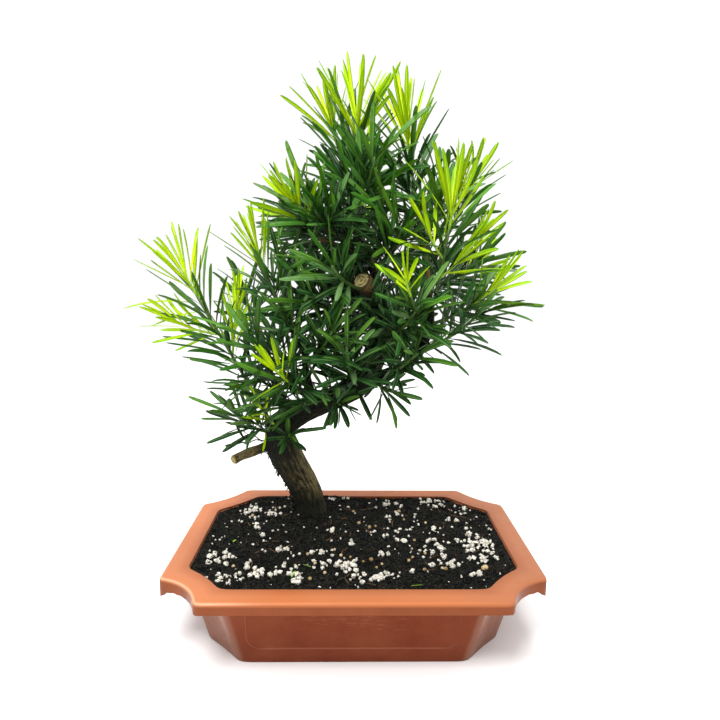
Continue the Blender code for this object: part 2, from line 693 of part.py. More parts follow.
def main():
    """Build every piece of the bonsai."""
    clear_scene()
    parts = bpy.data.collections.new("buddhist_pine_bonsai")
    cutters = bpy.data.collections.new("cutters")
    bpy.context.scene.collection.children.link(parts)
    bpy.context.scene.collection.children.link(cutters)
    materials = {name: make_material(name) for name in COLOURS}
    build_pot(parts, cutters, materials["pot"])
    build_soil(parts, cutters, materials["soil"])
    trunk = build_trunk(parts, materials["bark"])
    return build_foliage(parts, trunk, materials)


main()
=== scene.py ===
import math
import random

import bmesh
import bpy
import numpy as np
from mathutils import Matrix, Vector, noise
from mathutils.bvhtree import BVHTree
from mathutils.geometry import interpolate_bezier, intersect_point_line


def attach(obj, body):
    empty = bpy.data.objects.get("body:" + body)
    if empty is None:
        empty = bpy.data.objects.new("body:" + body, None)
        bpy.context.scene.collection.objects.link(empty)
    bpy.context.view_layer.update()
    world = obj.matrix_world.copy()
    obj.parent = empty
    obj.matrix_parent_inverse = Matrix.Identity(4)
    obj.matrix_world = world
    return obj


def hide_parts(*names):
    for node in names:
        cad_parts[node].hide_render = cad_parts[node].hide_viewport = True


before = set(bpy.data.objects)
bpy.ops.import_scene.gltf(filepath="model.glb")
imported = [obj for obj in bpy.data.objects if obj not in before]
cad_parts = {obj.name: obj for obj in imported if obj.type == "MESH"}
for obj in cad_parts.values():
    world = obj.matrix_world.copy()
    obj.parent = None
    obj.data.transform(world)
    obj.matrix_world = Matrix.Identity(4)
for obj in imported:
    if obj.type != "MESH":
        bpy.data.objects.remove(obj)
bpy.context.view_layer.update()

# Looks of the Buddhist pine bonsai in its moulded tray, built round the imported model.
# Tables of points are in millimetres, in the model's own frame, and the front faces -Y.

bl_info = {
    "name": "Buddhist pine bonsai",
    "version": (1, 0, 0),
    "blender": (4, 5, 0),
    "location": "View3D > Sidebar > Bonsai",
    "description": "Builds a potted Buddhist pine bonsai: tray, soil, trunk, leaves and stage",
    "category": "Add Mesh",
}

MM = 0.001

# Pot outline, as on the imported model
POT_LENGTH = 320.0
POT_DEPTH = 228.0
POT_HEIGHT = 70.0
RIM_WIDTH = 20.0
WALL = 2.4
LIP_DROP_FRONT = 10.0
LIP_DROP_SIDE = 13.0
BODY_TOP_HALF = (141.5, 99.5)
BODY_FOOT_HALF = (127.0, 85.4)
BODY_CORNER_TOP = (33.5, 4.0)
BODY_CORNER_FOOT = (33.5, 1.0)
# Corners of the rim, at its edge and at its mouth: how much each cuts off, and how far it bows
FRONT_SCOOP = ((37.5, 8.0), (33.0, 2.5))
BACK_SCOOP = ((40.0, 4.7), (36.6, 2.3))
EDGE_ROLL = 3.2
CORNER_STEPS = 18
SIDE_STEPS = 40
# Width of the painted shade where the rim rolls down to the soil
MOUTH_SHADE = 7.0
# Lower edge of the lip: how ragged it is along the scoops, and the nib at the tip of each corner
LIP_RAGGED = 1.3
LIP_RAGGED_SIZE = 2.6
LIP_NIB = 4.5
LIP_NIB_REACH = 6.5
MOUTH_ROLL = 2.2
# Faint line round the panel of a long face: its two ends, foot, top and corners, and how deep it is sunk
PANEL_ENDS = (-75.0, 73.0)
PANEL_FOOT = 14.5
PANEL_TOP = 57.0
PANEL_CORNER = 12.0
PANEL_LINE = 0.6
PANEL_SUNK = 0.45
PANEL_FOOT_SUNK = 0.25
PANEL_FOOT_BAND = 7.5
# Height of the painted highlight along the foot of that line
SHINE_HEIGHT = 14.8

# Soil
SOIL_EDGE_HEIGHT = 67.0
SOIL_MOUND = 5.0
SOIL_MOUND_RADIUS = 48.0
SOIL_BUMP = 1.3
SOIL_BUMP_SIZE = 14.0
SOIL_GAP = 0.4
SOIL_RINGS = 64
SOIL_BANK = 1.3
SOIL_BANK_WIDTH = 7.0
SOIL_LUMP = 1.3
SOIL_LUMP_SIZE = 4.6
SOIL_CRUMB = 0.9
SOIL_CRUMB_SIZE = 2.2
CLEAR_OF_TRUNK = 18.0

# Wood: every line is a list of (x, y, z, radius)
TRUNK_PIECE = "bark_trunk"
TRUNK_FOOT = (-46.0, 57.0)
TRUNK_LINE = (
    (-44, 57, 40, 19.5), (-43.5, 57, 58, 18.4), (-45, 57, 76, 15.8), (-48, 54, 90, 15.4),
    (-54, 48, 107, 15.4), (-62, 43, 124, 15.6), (-68, 40, 138, 16.2), (-73, 38, 154, 15.2),
    (-70, 36, 166, 13.6), (-59, 36, 176, 12.4), (-45, 36, 184, 11.6), (-28, 36, 191, 11.2),
    (-10, 37, 200, 11.6), (5, 39, 210, 12.2), (17, 42, 231, 12.0), (25, 44, 256, 11.2),
    (25, 36, 280, 10.6), (16, 21, 297, 9.4), (5, 4, 309, 9.0),
)
BRANCH_LINES = (
    ((25, 40, 276, 5.5), (24, 47, 300, 4.8), (16, 46, 320, 4.2), (6, 45, 345, 3.4),
     (1, 44, 372, 2.6), (-1, 43, 392, 2.2)),
    ((6, 40, 206, 7.5), (20, 33, 214, 6.8), (36, 25, 223, 6.0), (54, 12, 238, 5.0),
     (64, 2, 260, 4.2), (66, -7, 283, 3.6)),
    ((66, -7, 280, 3.4), (64, 6, 312, 2.9), (58, 18, 350, 2.3), (55, 23, 374, 2.0)),
    ((-68, 38, 147, 6.2), (-84, 36, 146, 5.4), (-92, 34, 143.5, 4.8), (-101, 32, 141, 5.0),
     (-110, 28.5, 138, 4.5), (-116, 23, 136, 4.9)),
    ((24, 44, 250, 6.0), (20, 75, 275, 4.6), (8, 103, 300, 3.4), (-4, 122, 322, 2.6)),
    ((28, 46, 262, 5.5), (52, 68, 292, 4.0), (78, 80, 326, 2.9), (88, 80, 346, 2.3)),
    ((-30, 34, 187, 4.6), (-40, 16, 205, 3.6), (-45, 9, 228, 2.9), (-48, 9, 252, 2.3)),
    ((-60, 38, 172, 4.8), (-80, 58, 204, 3.4), (-94, 76, 238, 2.6), (-97, 81, 256, 2.1)),
    ((14, 46, 324, 3.4), (-8, 38, 336, 2.9), (-34, 22, 347, 2.2)),
)
WOOD_VOXEL = 0.95
LEFT_STUB = 3
# Wood of this radius has its full relief, and thinner wood has less
THICK_WOOD = 10.0
BARK_RIDGE_SIZE = 3.0
BARK_LUMP_SIZE = 17.0
# The grain of the bark is drawn out lengthwise by this share
GRAIN_SQUEEZE = 0.22
# Sawn faces: line of the wood, and share of its radius
SAWN_ENDS = ((0, 0.86), (LEFT_STUB + 1, 0.82))
# Profile of a sawn face from its rim to its middle: share of its radius, and height
SAWN_PROFILE = ((0.98, -2.0), (1.0, 0.5), (0.92, 0.9), (0.6, 0.7), (0.25, 0.85), (0.04, 0.7))
SAWN_SIDES = 28
# Radians of the growth rings in the width of a sawn face: a ring for each three or four millimetres
RING_TURNS = 30.0
# Dead twigs on the trunk and the left stub
DEAD_TWIGS = (
    ((-84, 36, 150, 0.9), (-96, 30, 154, 0.7), (-104, 26, 151, 0.5), (-111, 24, 156, 0.3)),
    ((-90, 34, 151, 0.8), (-98, 32, 158, 0.6), (-104, 30, 160, 0.4), (-110, 30, 165, 0.25)),
    ((-80, 34, 152, 0.9), (-86, 26, 147, 0.6), (-90, 22, 141, 0.4)),
    ((-78, 30, 150, 0.8), (-82, 22, 152, 0.6), (-90, 18, 150, 0.4)),
    ((-70, 28, 168, 0.9), (-74, 20, 160, 0.7), (-77, 16, 150, 0.5)),
)
# Flakes of bark: how many, in how many clumps low and high, and where on the trunk's line those lie
FLAKES = 190
LOW_CLUMPS = 9
HIGH_CLUMPS = 8
CLUMPS_FROM = 14
CLUMPS_MIDDLE = 46
CLUMPS_END = 8
FLAKE_THICKNESS = 0.22

# Growth rule of the leaves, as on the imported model
GOLDEN_TURN = math.radians(137.5)
SEED_TURN = 0.7
TURN_SPREAD = 0.2
OPENING_SPREAD = 7.0
LEAST_OPENING = 6.0
LENGTH_SPREAD = (0.82, 1.12)
WIDTH_SPREAD = (0.85, 1.12)
SAG_SPREAD = (0.3, 1.6)
SAG_ACROSS = 0.6
MATURE = {"open": (62, 32), "length": (52, 62), "lift": 0.20, "sag": 0.10, "roll": 0.4}
YOUNG = {"open": (50, 10), "length": (62, 46), "lift": 0.20, "sag": 0.03, "roll": 0.8}
STEM_MATURE = (1.7, 1.25)
STEM_YOUNG = (1.2, 0.9)
STEM_HANDLES = (0.35, 0.7)
STEM_BARE_FOOT = (3.0, 0.12)
STEM_BARE_TIP = 1.5
YOUNG_SHARE = 24.0
YOUNG_SEED = 50
LINE_POINTS = 9
YOUNG_SUFFIX = "_new"

# Outline of a leaf: share of its length, share of its full half width
LEAF_OUTLINE = (
    (0.0, 0.18), (0.07, 0.25), (0.22, 0.6), (0.45, 0.9), (0.7, 1.0), (0.89, 0.82), (0.97, 0.5))
NEW_OUTLINE = (
    (0.0, 0.28), (0.08, 0.4), (0.25, 0.72), (0.48, 0.95), (0.72, 1.0), (0.89, 0.8), (0.97, 0.48))
# Section of a leaf: place across and height, as shares of the half width, and place round the edge
LEAF_SECTION = ((1.0, 0.0, 0.0), (0.5, 0.19, 0.125), (0.0, 0.04, 0.25), (-0.5, 0.19, 0.375),
                (-1.0, 0.0, 0.5), (0.0, -0.16, 0.75))
# How deep a leaf is folded along its rib, and radians of fine veins in its width
LEAF_FOLD = 0.12
VEINS = 60.0

# Shoots: name, base, tip, bow of the stem below its chord, mature leaves, new leaves, leaf size
SHOOTS = (
    ("shoot_long_left", (-75, 34, 160), (-150, -5, 315), 0, 40, 18, 0.95),
    ("shoot_long_left_side", (-121, 10, 259), (-160, 0, 272), 3, 0, 14, 0.8),
    ("shoot_long_left_up", (-113, 14, 240), (-108, 18, 290), 0, 0, 24, 0.75),
    ("shoot_left_inner", (-47, 9, 242), (-85, -15, 335), 4, 30, 14, 0.9),
    ("shoot_left_top", (-32, 23, 347), (-54, 0, 372), 3, 18, 18, 0.95),
    ("shoot_crown_left", (2, 45, 366), (-24, 66, 456), 4, 27, 18, 1.08),
    ("shoot_crown", (-1, 43, 388), (0, 20, 452), 4, 21, 18, 1.1),
    ("shoot_crown_right", (55, 23, 372), (42, 12, 438), 0, 21, 18, 1.1),
    ("shoot_right_front", (66, -10, 284), (78, -38, 376), 6, 24, 20, 1.05),
    ("shoot_right_back", (88, 80, 344), (116, 80, 410), 6, 21, 16, 0.95),
    ("shoot_right_upper", (70, -20, 312), (102, -25, 348), 4, 0, 14, 0.85),
    ("shoot_right_outer", (65, -3, 271), (116, -30, 306), 6, 21, 14, 0.85),
    ("shoot_front_right", (65, -1, 266), (36, -72, 316), 10, 18, 8, 0.62),
    ("shoot_front_upper", (72, -25, 329), (54, -36, 358), 3, 0, 12, 0.75),
    ("shoot_front_left", (-41, 14, 206), (-66, -42, 236), 5, 15, 14, 0.8),
    ("shoot_low_tip", (-72, 34, 163), (-88, -2, 198), 3, 0, 12, 0.62),
    ("shoot_low_left", (-80, 36, 160), (-112, 14, 184), 6, 21, 0, 0.8),
    ("shoot_trunk_tuft", (-70, 30, 158), (-60, 8, 166), 3, 12, 0, 0.46),
    ("shoot_under_right", (14, 34, 212), (30, -2, 208), -3, 18, 0, 0.62),
    ("shoot_under_left", (-20, 32, 190), (-14, 4, 196), -2, 15, 0, 0.55),
    ("shoot_front_crown", (12, 16, 303), (-20, -48, 322), 10, 24, 0, 0.9),
    ("shoot_front_mid", (26, 36, 262), (48, -46, 286), 12, 27, 0, 0.88),
    ("shoot_front_low", (2, 34, 208), (-8, -44, 256), 12, 27, 0, 0.8),
    ("shoot_front_low_right", (24, 34, 220), (52, -34, 250), 6, 24, 0, 0.72),
    ("shoot_centre_left", (20, 34, 288), (-42, -14, 292), 10, 27, 0, 0.95),
    ("shoot_centre_upper", (6, 43, 340), (-36, -12, 368), 10, 27, 0, 1.0),
    ("shoot_centre_right", (15, 44, 322), (38, -18, 352), 10, 27, 0, 0.95),
    ("shoot_inner_left", (-47, 9, 236), (-20, -36, 268), 8, 27, 0, 0.82),
    ("shoot_right_low", (58, 9, 245), (106, -24, 284), 6, 27, 0, 0.82),
    ("shoot_upper_front", (1, 42, 370), (14, -20, 410), 10, 27, 0, 1.05),
    ("shoot_upper_right", (60, 16, 340), (74, 2, 386), 6, 24, 0, 0.95),
    ("shoot_left_low", (-45, 10, 226), (-92, -22, 262), 10, 27, 0, 0.9),
    ("shoot_right_side", (64, 6, 306), (114, 24, 330), 8, 27, 0, 0.92),
    ("shoot_back_crown", (1, 45, 378), (8, 122, 432), 12, 27, 14, 1.0),
    ("shoot_back_left_top", (-10, 38, 336), (-62, 104, 378), 12, 27, 14, 1.0),
    ("shoot_back_left", (-2, 118, 318), (-54, 158, 342), 10, 24, 0, 1.0),
    ("shoot_back_mid", (-4, 122, 320), (14, 160, 372), 10, 24, 14, 1.0),
    ("shoot_back_right", (8, 103, 298), (66, 148, 318), 12, 27, 0, 1.0),
    ("shoot_right_back_low", (54, 69, 294), (122, 92, 322), 12, 27, 14, 1.0),
    ("shoot_back_low", (20, 75, 273), (22, 134, 262), 12, 27, 0, 0.95),
    ("shoot_back_left_low", (-97, 81, 252), (-118, 112, 294), 8, 24, 0, 0.95),
    ("shoot_back_right_top", (78, 80, 324), (72, 134, 386), 10, 24, 0, 1.0),
)
# Turn about the stem and share of the length tried for a leaf that would cut into the wood
DETOURS = ((0, 1.0), (26, 1.0), (-26, 1.0), (52, 0.95), (-52, 0.95), (90, 0.9), (-90, 0.9), (0, 0.6))

# Side twigs that fill the crown: how far apart and how long they are, and the size of their leaves
SIDE_TWIG_SPACING = 15.0
SIDE_TWIG_LENGTH = (16.0, 30.0)
SIDE_TWIG_BOW = 1.0
SIDE_TWIG_STEM = (1.0, 0.7)
SIDE_TWIG_LEAVES = 12
SIDE_TWIG_WIDTH = 0.92
SIDE_TWIG_SIZE = 0.88
TWIG_POINTS = 5
# Leaves added along a shoot, as a share of its own, and their size
EXTRA_LEAVES = 0.6
EXTRA_SIZE = 0.95
# New leaves are narrower on the shaded left side, and fewer in the tufts at the sides of the crown
SHADED_LEFT_OF = -80
SHADED_WIDTH = 0.75
SPARSE_FROM = 50
SPARSE_GAPS = 3
EXTRA_SEED = 500
FILL_SEED = 900
# Where the foliage is dense, as ellipsoids given by a centre and half sizes
DENSE = (
    (Vector((-4, 44, 308)), Vector((86, 84, 108))),
    (Vector((-62, 24, 236)), Vector((40, 44, 52))),
)
# How far a leaf keeps off the wood, and how near the bark a spot is tested for lying behind it
WOOD_CLEARANCE = 1.2
WOOD_REACH = 20.0
# Sawn ends, and the trunk's bend, that no leaf hides: place, the side it is seen from, how wide it is
# kept clear, and how far out
OPEN_ENDS = (
    (Vector((5, 4, 309)), Vector((-0.03, -1.0, 0.03)), 10.5),
    (Vector((-116, 23, 136)), Vector((0.18, -0.93, 0.31)), 7.0),
    (Vector((-52, 28, 174)), Vector((0.07, -0.97, 0.25)), 8.0),
    (Vector((-36, 28, 183)), Vector((0.07, -0.97, 0.25)), 8.0),
)
CLEAR_REACH = 150.0

FILL_TWIG_BOW = 4.0
FILL_TWIG_STEM = (1.1, 0.7)
FILL_TWIG_WIDTH = 0.9
# Side twigs placed one by one: piece, base, tip, leaves, leaf size
FILL_TWIGS = (
    ("spray_front_left", (-36, 34, 194), (-72, 0, 204), 16, 0.8),
    ("spray_front_left", (-18, 34, 199), (-58, -4, 196), 16, 0.8),
    ("spray_left_low", (-46, 9, 226), (-88, 2, 218), 16, 0.85),
    ("spray_under_left", (2, 36, 208), (-32, -6, 208), 16, 0.8),
    ("spray_low_left", (-76, 36, 160), (-92, 12, 176), 10, 0.5),
    ("spray_centre_right", (22, 48, 300), (-2, 50, 322), 14, 0.7),
    ("spray_centre_right", (20, 47, 310), (4, 66, 318), 16, 0.8),
    ("spray_centre_left", (24, 40, 284), (-6, 46, 294), 14, 0.7),
    ("spray_centre_left", (25, 44, 284), (0, 62, 290), 16, 0.8),
)
# Single leaves that stand out: piece, root, tip, width, droop
LONE_LEAVES = (
    ("tuft_long_left_side", (-146, 6, 288), (-204, -2, 283), 2.4, 16),
    ("tuft_long_left_side", (-140, 6, 280), (-180, 0, 268), 2.6, 8),
    ("spray_long_left", (-119, 11, 250), (-173, 3, 258), 3.0, 3),
    ("spray_long_left", (-121, 10, 255), (-157, 2, 264), 3.0, 2),
    ("spray_long_left", (-114, 14, 241), (-171, 6, 252), 2.6, 3),
    ("spray_long_left", (-109, 16, 230), (-158, 8, 239), 2.4, 2),
    ("spray_long_left", (-101, 21, 213), (-141, 13, 215), 2.4, -4),
    ("spray_long_left", (-97, 22, 206), (-122, 14, 212), 3.0, 1),
    ("spray_trunk_tuft", (-62, 9, 166), (-26, 1, 175), 6.0, 3),
    ("spray_trunk_tuft", (-62, 9, 164), (-51, 5, 152), 5.0, 2),
    ("spray_trunk_tuft", (-63, 9, 165), (-72, 5, 156), 4.2, 1),
    ("spray_low_left", (-104, 24, 154), (-112, 20, 171), 4.0, 0),
    ("spray_low_left", (-104, 24, 154), (-105, 19, 172), 4.0, 0),
    ("spray_low_left", (-104, 24, 154), (-124, 20, 151), 3.6, 1),
    ("spray_low_left", (-104, 24, 155), (-97, 19, 167), 3.4, 0),
    ("tuft_low_tip", (-84, 18, 164), (-87, 15, 147), 3.2, 0),
    ("spray_right_outer", (103, -25, 295), (158, -30, 290), 4.6, 3),
    ("spray_right_low", (97, -25, 280), (126, -30, 273), 4.4, 2),
    ("spray_centre_right", (21, 53, 302), (-3, 50, 334), 6.0, 1),
    ("spray_centre_right", (24, 58, 320), (-18, 54, 313), 6.0, 1),
    ("spray_centre_left", (24, 50, 288), (-14, 50, 301), 6.0, 1),
)

# Perlite on the soil: cluster centre, spread, count
PERLITE_CLUSTERS = (
    ((-100, -71), 12, 16), ((-88, -64), 10, 4), ((-124, -36), 9, 5), ((-112, -42), 9, 7),
    ((-104, 56), 14, 11), ((-84, 54), 12, 8), ((-74, -24), 9, 4), ((-60, -38), 10, 3),
    ((-62, -60), 10, 4), ((-49, -72), 9, 6), ((-30, -30), 8, 5), ((-29, -56), 9, 5),
    ((-6, -54), 10, 8), ((2, -74), 8, 6), ((18, -70), 8, 7), ((30, -64), 9, 4),
    ((41, -68), 9, 5), ((72, -20), 12, 6), ((76, -48), 12, 7), ((113, 3), 9, 7),
    ((124, -12), 8, 15), ((106, -8), 10, 6), ((98, 71), 14, 11), ((76, 76), 12, 8),
    ((118, 58), 9, 7), ((40, 80), 26, 12), ((52, 18), 22, 7), ((14, 8), 22, 6),
    ((-18, 92), 26, 9), ((50, -36), 22, 7), ((-90, 10), 24, 5), ((90, 28), 18, 6),
    ((-20, -8), 22, 5), ((102, -50), 16, 7), ((-126, 4), 8, 3), ((104, -74), 14, 5),
    ((121, -28), 8, 6), ((110, -42), 8, 4),
)
PERLITE_SIZES = (0.4, 0.6, 0.8, 1.0, 1.2)
# Stray grains of perlite and crumbs of peat: how many, and half the length and depth they lie in
STRAY_PERLITE = 230
STRAY_HALF = (135, 90)
CRUMB_HALF = (138, 93)
# Fertiliser beads: places of those that stand out, how many more, and the one large bead
BEAD_SPOTS = (
    (-3, -38), (15, -43), (19, -56), (24, -50), (48, -44), (52, -38), (60, -60), (66, -52), (8, -46))
STRAY_BEADS = 26
LARGE_BEAD = (112, -56)
LARGE_BEAD_HALF = (4.6, 2.8, 2.0)
# Fine twigs on the soil: how many, and radii along one. Loose green bits: place, turn and length of each
LITTER_TWIGS = 46
LITTER_RADII = (0.32, 0.4, 0.38, 0.32, 0.2)
GREEN_BITS = ((-44, -53, -0.6, 9), (-52, -71, 1.3, 10), (46, -86, 0.1, 10), (-112, -10, 1.0, 5))

# Stage: soft square lights as name, place, target, size and power, and the camera in metres and degrees
FLOOR_HALF = 40.0
BACKDROP_STRENGTH = 1.04
LIGHTS = (
    ("key", (-0.35, -0.8, 1.45), (0, 0, 0.2), 0.5, 18),
    ("top", (0.05, 0.25, 1.7), (0, 0, 0.2), 0.6, 17),
)
CAMERA_PLACE = (-0.0067, -0.5245, 0.3255)
CAMERA_LENS = 29.5
CAMERA_PITCH = 9.43
CAMERA_ROLL = 0.62
CAMERA_TURN = -1.19


def srgb(code):
    """Linear colour with full opacity from an sRGB hex value."""
    channels = [int(code[start:start + 2], 16) / 255 for start in (1, 3, 5)]
    linear = [value / 12.92 if value <= 0.04045 else ((value + 0.055) / 1.055) ** 2.4
              for value in channels]
    return (*linear, 1.0)


def colour_property(name, description, code):
    """Colour that the user may change."""
    return bpy.props.FloatVectorProperty(
        name=name, description=description, subtype="COLOR", size=4, min=0.0, max=1.0,
        default=srgb(code))


class BonsaiSizes(bpy.types.PropertyGroup):
    """Sizes and counts of the pieces."""

    leaf_width: bpy.props.FloatProperty(
        name="Leaf width", description="Width of a mature leaf", default=0.0062,
        min=0.002, unit="LENGTH")
    new_leaf_width: bpy.props.FloatProperty(
        name="New leaf width", description="Width of a leaf of the new growth", default=0.0052,
        min=0.002, unit="LENGTH")
    perlite_size: bpy.props.FloatProperty(
        name="Perlite size", description="Usual size of a grain of perlite", default=0.0044,
        min=0.001, unit="LENGTH")
    crumb_size: bpy.props.FloatProperty(
        name="Crumb size", description="Usual size of a crumb of peat", default=0.0021,
        min=0.0005, unit="LENGTH")
    crumb_count: bpy.props.IntProperty(
        name="Crumbs", description="Number of loose crumbs on the soil", default=4200, min=0)
    bark_relief: bpy.props.FloatProperty(
        name="Bark relief", description="Height of the ridges of the bark", default=0.0007,
        min=0.0, unit="LENGTH")


class BonsaiColours(bpy.types.PropertyGroup):
    """Colours of the finishes."""

    # Rim, lip and tub are one plastic: the rim is painted lighter, as painted light on its top, and the
    # lip and tub darker, as painted shade
    pot: colour_property("Rim", "Moulded plastic of the rim, faded by the sun", "#BA6E42")
    pot_lip_shaded: colour_property("Lip", "Moulded plastic of the lip's edge", "#773C1E")
    pot_body_shaded: colour_property("Tub", "Moulded plastic of the tub", "#6E2B0C")
    soil: colour_property("Soil", "Damp peat", "#1A1F1D")
    perlite: colour_property("Perlite", "Expanded perlite", "#ECE7DA")
    bead: colour_property("Fertiliser", "Coated fertiliser bead", "#D8C498")
    bark: colour_property("Bark", "Lit ridges of the bark", "#4E4830")
    bark_dark: colour_property("Bark hollows", "Damp and shaded bark", "#15140E")
    # Painted lighter than the wood, as painted light on the leader's sawn face in the crown's shade
    sawn: colour_property("Sawn wood", "Weathered sawn face", "#E0D08A")
    leaf: colour_property("Leaf", "Upper side of a mature leaf", "#2B6420")
    leaf_dark: colour_property("Dark leaf", "Darkest mature leaves", "#08260F")
    new_base: colour_property("New leaf, foot", "New growth near its stem", "#D2EC08")
    new_tip: colour_property("New leaf, tip", "New growth at its tip", "#74AE0C")
    floor: colour_property("Floor", "Pale studio floor", "#FCFCFC")


def node(tree, kind, inputs=(), output=0, stops=(), **settings):
    """Add a shader node with its settings and its inputs as values or links, and give an output of it.

    The inputs are given in order, or by number or name. An output of None gives all of them.
    """
    made = tree.nodes.new("ShaderNode" + kind)
    for name, value in settings.items():
        setattr(made, name, value)
    for key, value in inputs.items() if isinstance(inputs, dict) else enumerate(inputs):
        if isinstance(value, bpy.types.NodeSocket):
            tree.links.new(value, made.inputs[key])
        else:
            made.inputs[key].default_value = value
    for index, (place, colour) in enumerate(stops):
        elements = made.color_ramp.elements
        element = elements[index] if index < 2 else elements.new(place)
        element.position = place
        element.color = colour
    return made.outputs if output is None else made.outputs[output]


def new_material(name, roughness, **inputs):
    """Principled material with its plain values set on the shader, and its parts for more."""
    material = bpy.data.materials.new(name)
    material.use_nodes = True
    tree = material.node_tree
    shader = tree.nodes["Principled BSDF"]
    shader.inputs["Roughness"].default_value = roughness
    for key, value in inputs.items():
        shader.inputs[key.replace("_", " ")].default_value = value
    return material, tree, shader


def link_surface(tree, shader, **sockets):
    """Link the sockets of a finished surface to the shader's own, named as those are."""
    for key, socket in sockets.items():
        tree.links.new(socket, shader.inputs[key.replace("_", " ")])


def mask(tree, *parts):
    """Socket of the product of some parts.

    A part is a socket, or a socket with the range it is taken from and the range it is taken to, where
    lengths are in metres.
    """
    sockets = [node(tree, "MapRange", part) if isinstance(part, tuple) else part for part in parts]
    result = sockets[0]
    for socket in sockets[1:]:
        result = node(tree, "Math", (result, socket), operation="MULTIPLY")
    return result


def layered(tree, colour, *layers):
    """Lay colours over a first one: each row gives a colour and the parts of its mask."""
    for over, *parts in layers:
        over = srgb(over) if isinstance(over, str) else over
        colour = node(tree, "Mix", {0: mask(tree, *parts), 6: colour, 7: over}, 2, data_type="RGBA")
    return colour


def tub_colour(colours, tree, place, height, normal):
    """Tub: darker at its foot, with a painted reflection on its corner faces and a painted highlight
    streak near the front, scratched, and a painted highlight along its panel line.
    """
    x = node(tree, "SeparateXYZ", (place,))
    across = node(tree, "Math", (x,), operation="ABSOLUTE")
    corner = node(tree, "Math", (normal[0], normal[1]), operation="MULTIPLY")
    corner = node(tree, "Math", (corner,), operation="ABSOLUTE")
    # How far a spot lies past the fold between the long face and the corner face
    lean = (BODY_TOP_HALF[0] - BODY_FOOT_HALF[0]) / (POT_HEIGHT - WALL)
    past = node(tree, "Math", (height, lean), operation="MULTIPLY")
    past = node(tree, "Math", (across, past), operation="SUBTRACT")
    fold = (BODY_FOOT_HALF[0] - BODY_CORNER_FOOT[0]) * MM
    off_line = node(tree, "Math", (height, SHINE_HEIGHT * MM), operation="SUBTRACT")
    off_line = node(tree, "Math", (off_line,), operation="ABSOLUTE")
    # Scratches 0.9 mm apart, drawn out eight times along the faces
    squeezed = node(tree, "VectorMath", (place, (0.12, 0.12, 1.0)), operation="MULTIPLY")
    scratches = node(tree, "TexNoise", {
        "Vector": squeezed, "Scale": 1 / (0.9 * MM), "Detail": 2.0, "Roughness": 0.55})
    return layered(
        # The tub's colour is the rim's plastic darkened as painted shade
        tree, tuple(colours.pot_body_shaded),
        ("#581F08", (height, 0.04, 0.0, 0.0, 0.7)),
        # Painted reflection greying the corner faces, with a painted highlight streak near the front
        ("#8C6A58", (corner, 0.12, 0.3, 0.0, 0.4)),
        ("#C8A08C", (past, fold + 0.001, fold + 0.005), (past, fold + 0.012, fold + 0.006),
         (height, 0.02, 0.05, 0.0, 0.5)),
        # Painted highlight along the foot of the moulded line of the panel
        ("#C08468", (off_line, 0.0009, 0.0004, 0.0, 0.2), (across, 0.082, 0.07)),
        # Fine scratches in the middle of the faces, on their upper half
        ("#A86048", (scratches, 0.6, 0.66, 0.0, 0.35), (across, 0.06, 0.02), (height, 0.028, 0.04)),
    )


def rim_colour(colours, tree, place, height, normal):
    """Rim: painted lighter on its top as painted light, with painted shade at its mouth and a painted
    highlight along its left edge.
    """
    x = node(tree, "SeparateXYZ", (place,))
    mouth = node(tree, "Attribute", output="Fac", attribute_name="mouth")
    top, upward = (height, 0.0664, 0.0694), normal[2]
    return layered(
        tree, tuple(colours.pot_lip_shaded),
        # The top in the rim's colour over the lip's: painted light on the top, painted shade on the lip
        (tuple(colours.pot), top),
        # Painted light on the left of the top, and painted shade on the right
        ("#C4886A", top, (x, -0.06, -0.15, 0.0, 0.25)),
        ("#9A6448", top, (x, 0.07, 0.15, 0.0, 0.75)),
        # Painted shade where it rolls down to the soil, and a painted highlight along the edge on the
        # left
        ("#7E4224", (mouth, 0.0, 1.0, 0.0, 0.5)),
        ("#E8B896", (upward, 0.35, 0.6), (upward, 0.97, 0.85), (mouth, 0.1, 0.0, 0.0, 0.5),
         (x, -0.07, -0.11)),
    )


def pot_material(colours, tub):
    """Injection-moulded polypropylene, satin: clouded, scuffed and dusty, with painted light on the
    rim's top and painted shade on the lip and tub.
    """
    name = "moulded_polypropylene_" + ("tub" if tub else "rim")
    material, tree, shader = new_material(name, 0.34, IOR=1.49, Specular_IOR_Level=0.14)
    place = node(tree, "TexCoord", output="Object")
    height = node(tree, "SeparateXYZ", (place,), "Z")
    normal = node(tree, "SeparateXYZ", (node(tree, "NewGeometry", output="Normal"),), None)
    # Size in millimetres, detail and roughness of each noise: clouds of pigment 30 mm across, grains of
    # dust and the patches they lie in, scuffs, pores and slight waves
    clouds, dust, dusty, scuffs, pores, waves = (
        node(tree, "TexNoise", {
            "Vector": place, "Scale": 1 / (size * MM), "Detail": detail, "Roughness": rough})
        for size, detail, rough in (
            (30.0, 3.0, 0.55), (1.1, 2.0, 0.5), (26.0, 2.0, 0.55), (9.0, 6.0, 0.65), (0.9, 3.0, 0.55),
            (14.0, 3.0, 0.6)))
    colour = layered(
        tree, (tub_colour if tub else rim_colour)(colours, tree, place, height, normal),
        ("#A8603C", (clouds, 0.3, 0.7, 0.0, 0.16)),
        ("#3A2418", (dust, 0.74, 0.78), (dusty, 0.48, 0.62, 0.0, 0.7)),
    )
    relief = node(tree, "Bump", {"Height": pores, "Distance": 0.03 * MM})
    relief = node(tree, "Bump", {"Height": waves, "Distance": 0.35 * MM, "Normal": relief})
    gloss = node(tree, "MapRange", (scuffs, 0.4, 0.7, 0.28, 0.44))
    link_surface(tree, shader, Base_Color=colour, Roughness=gloss, Normal=relief)
    return material


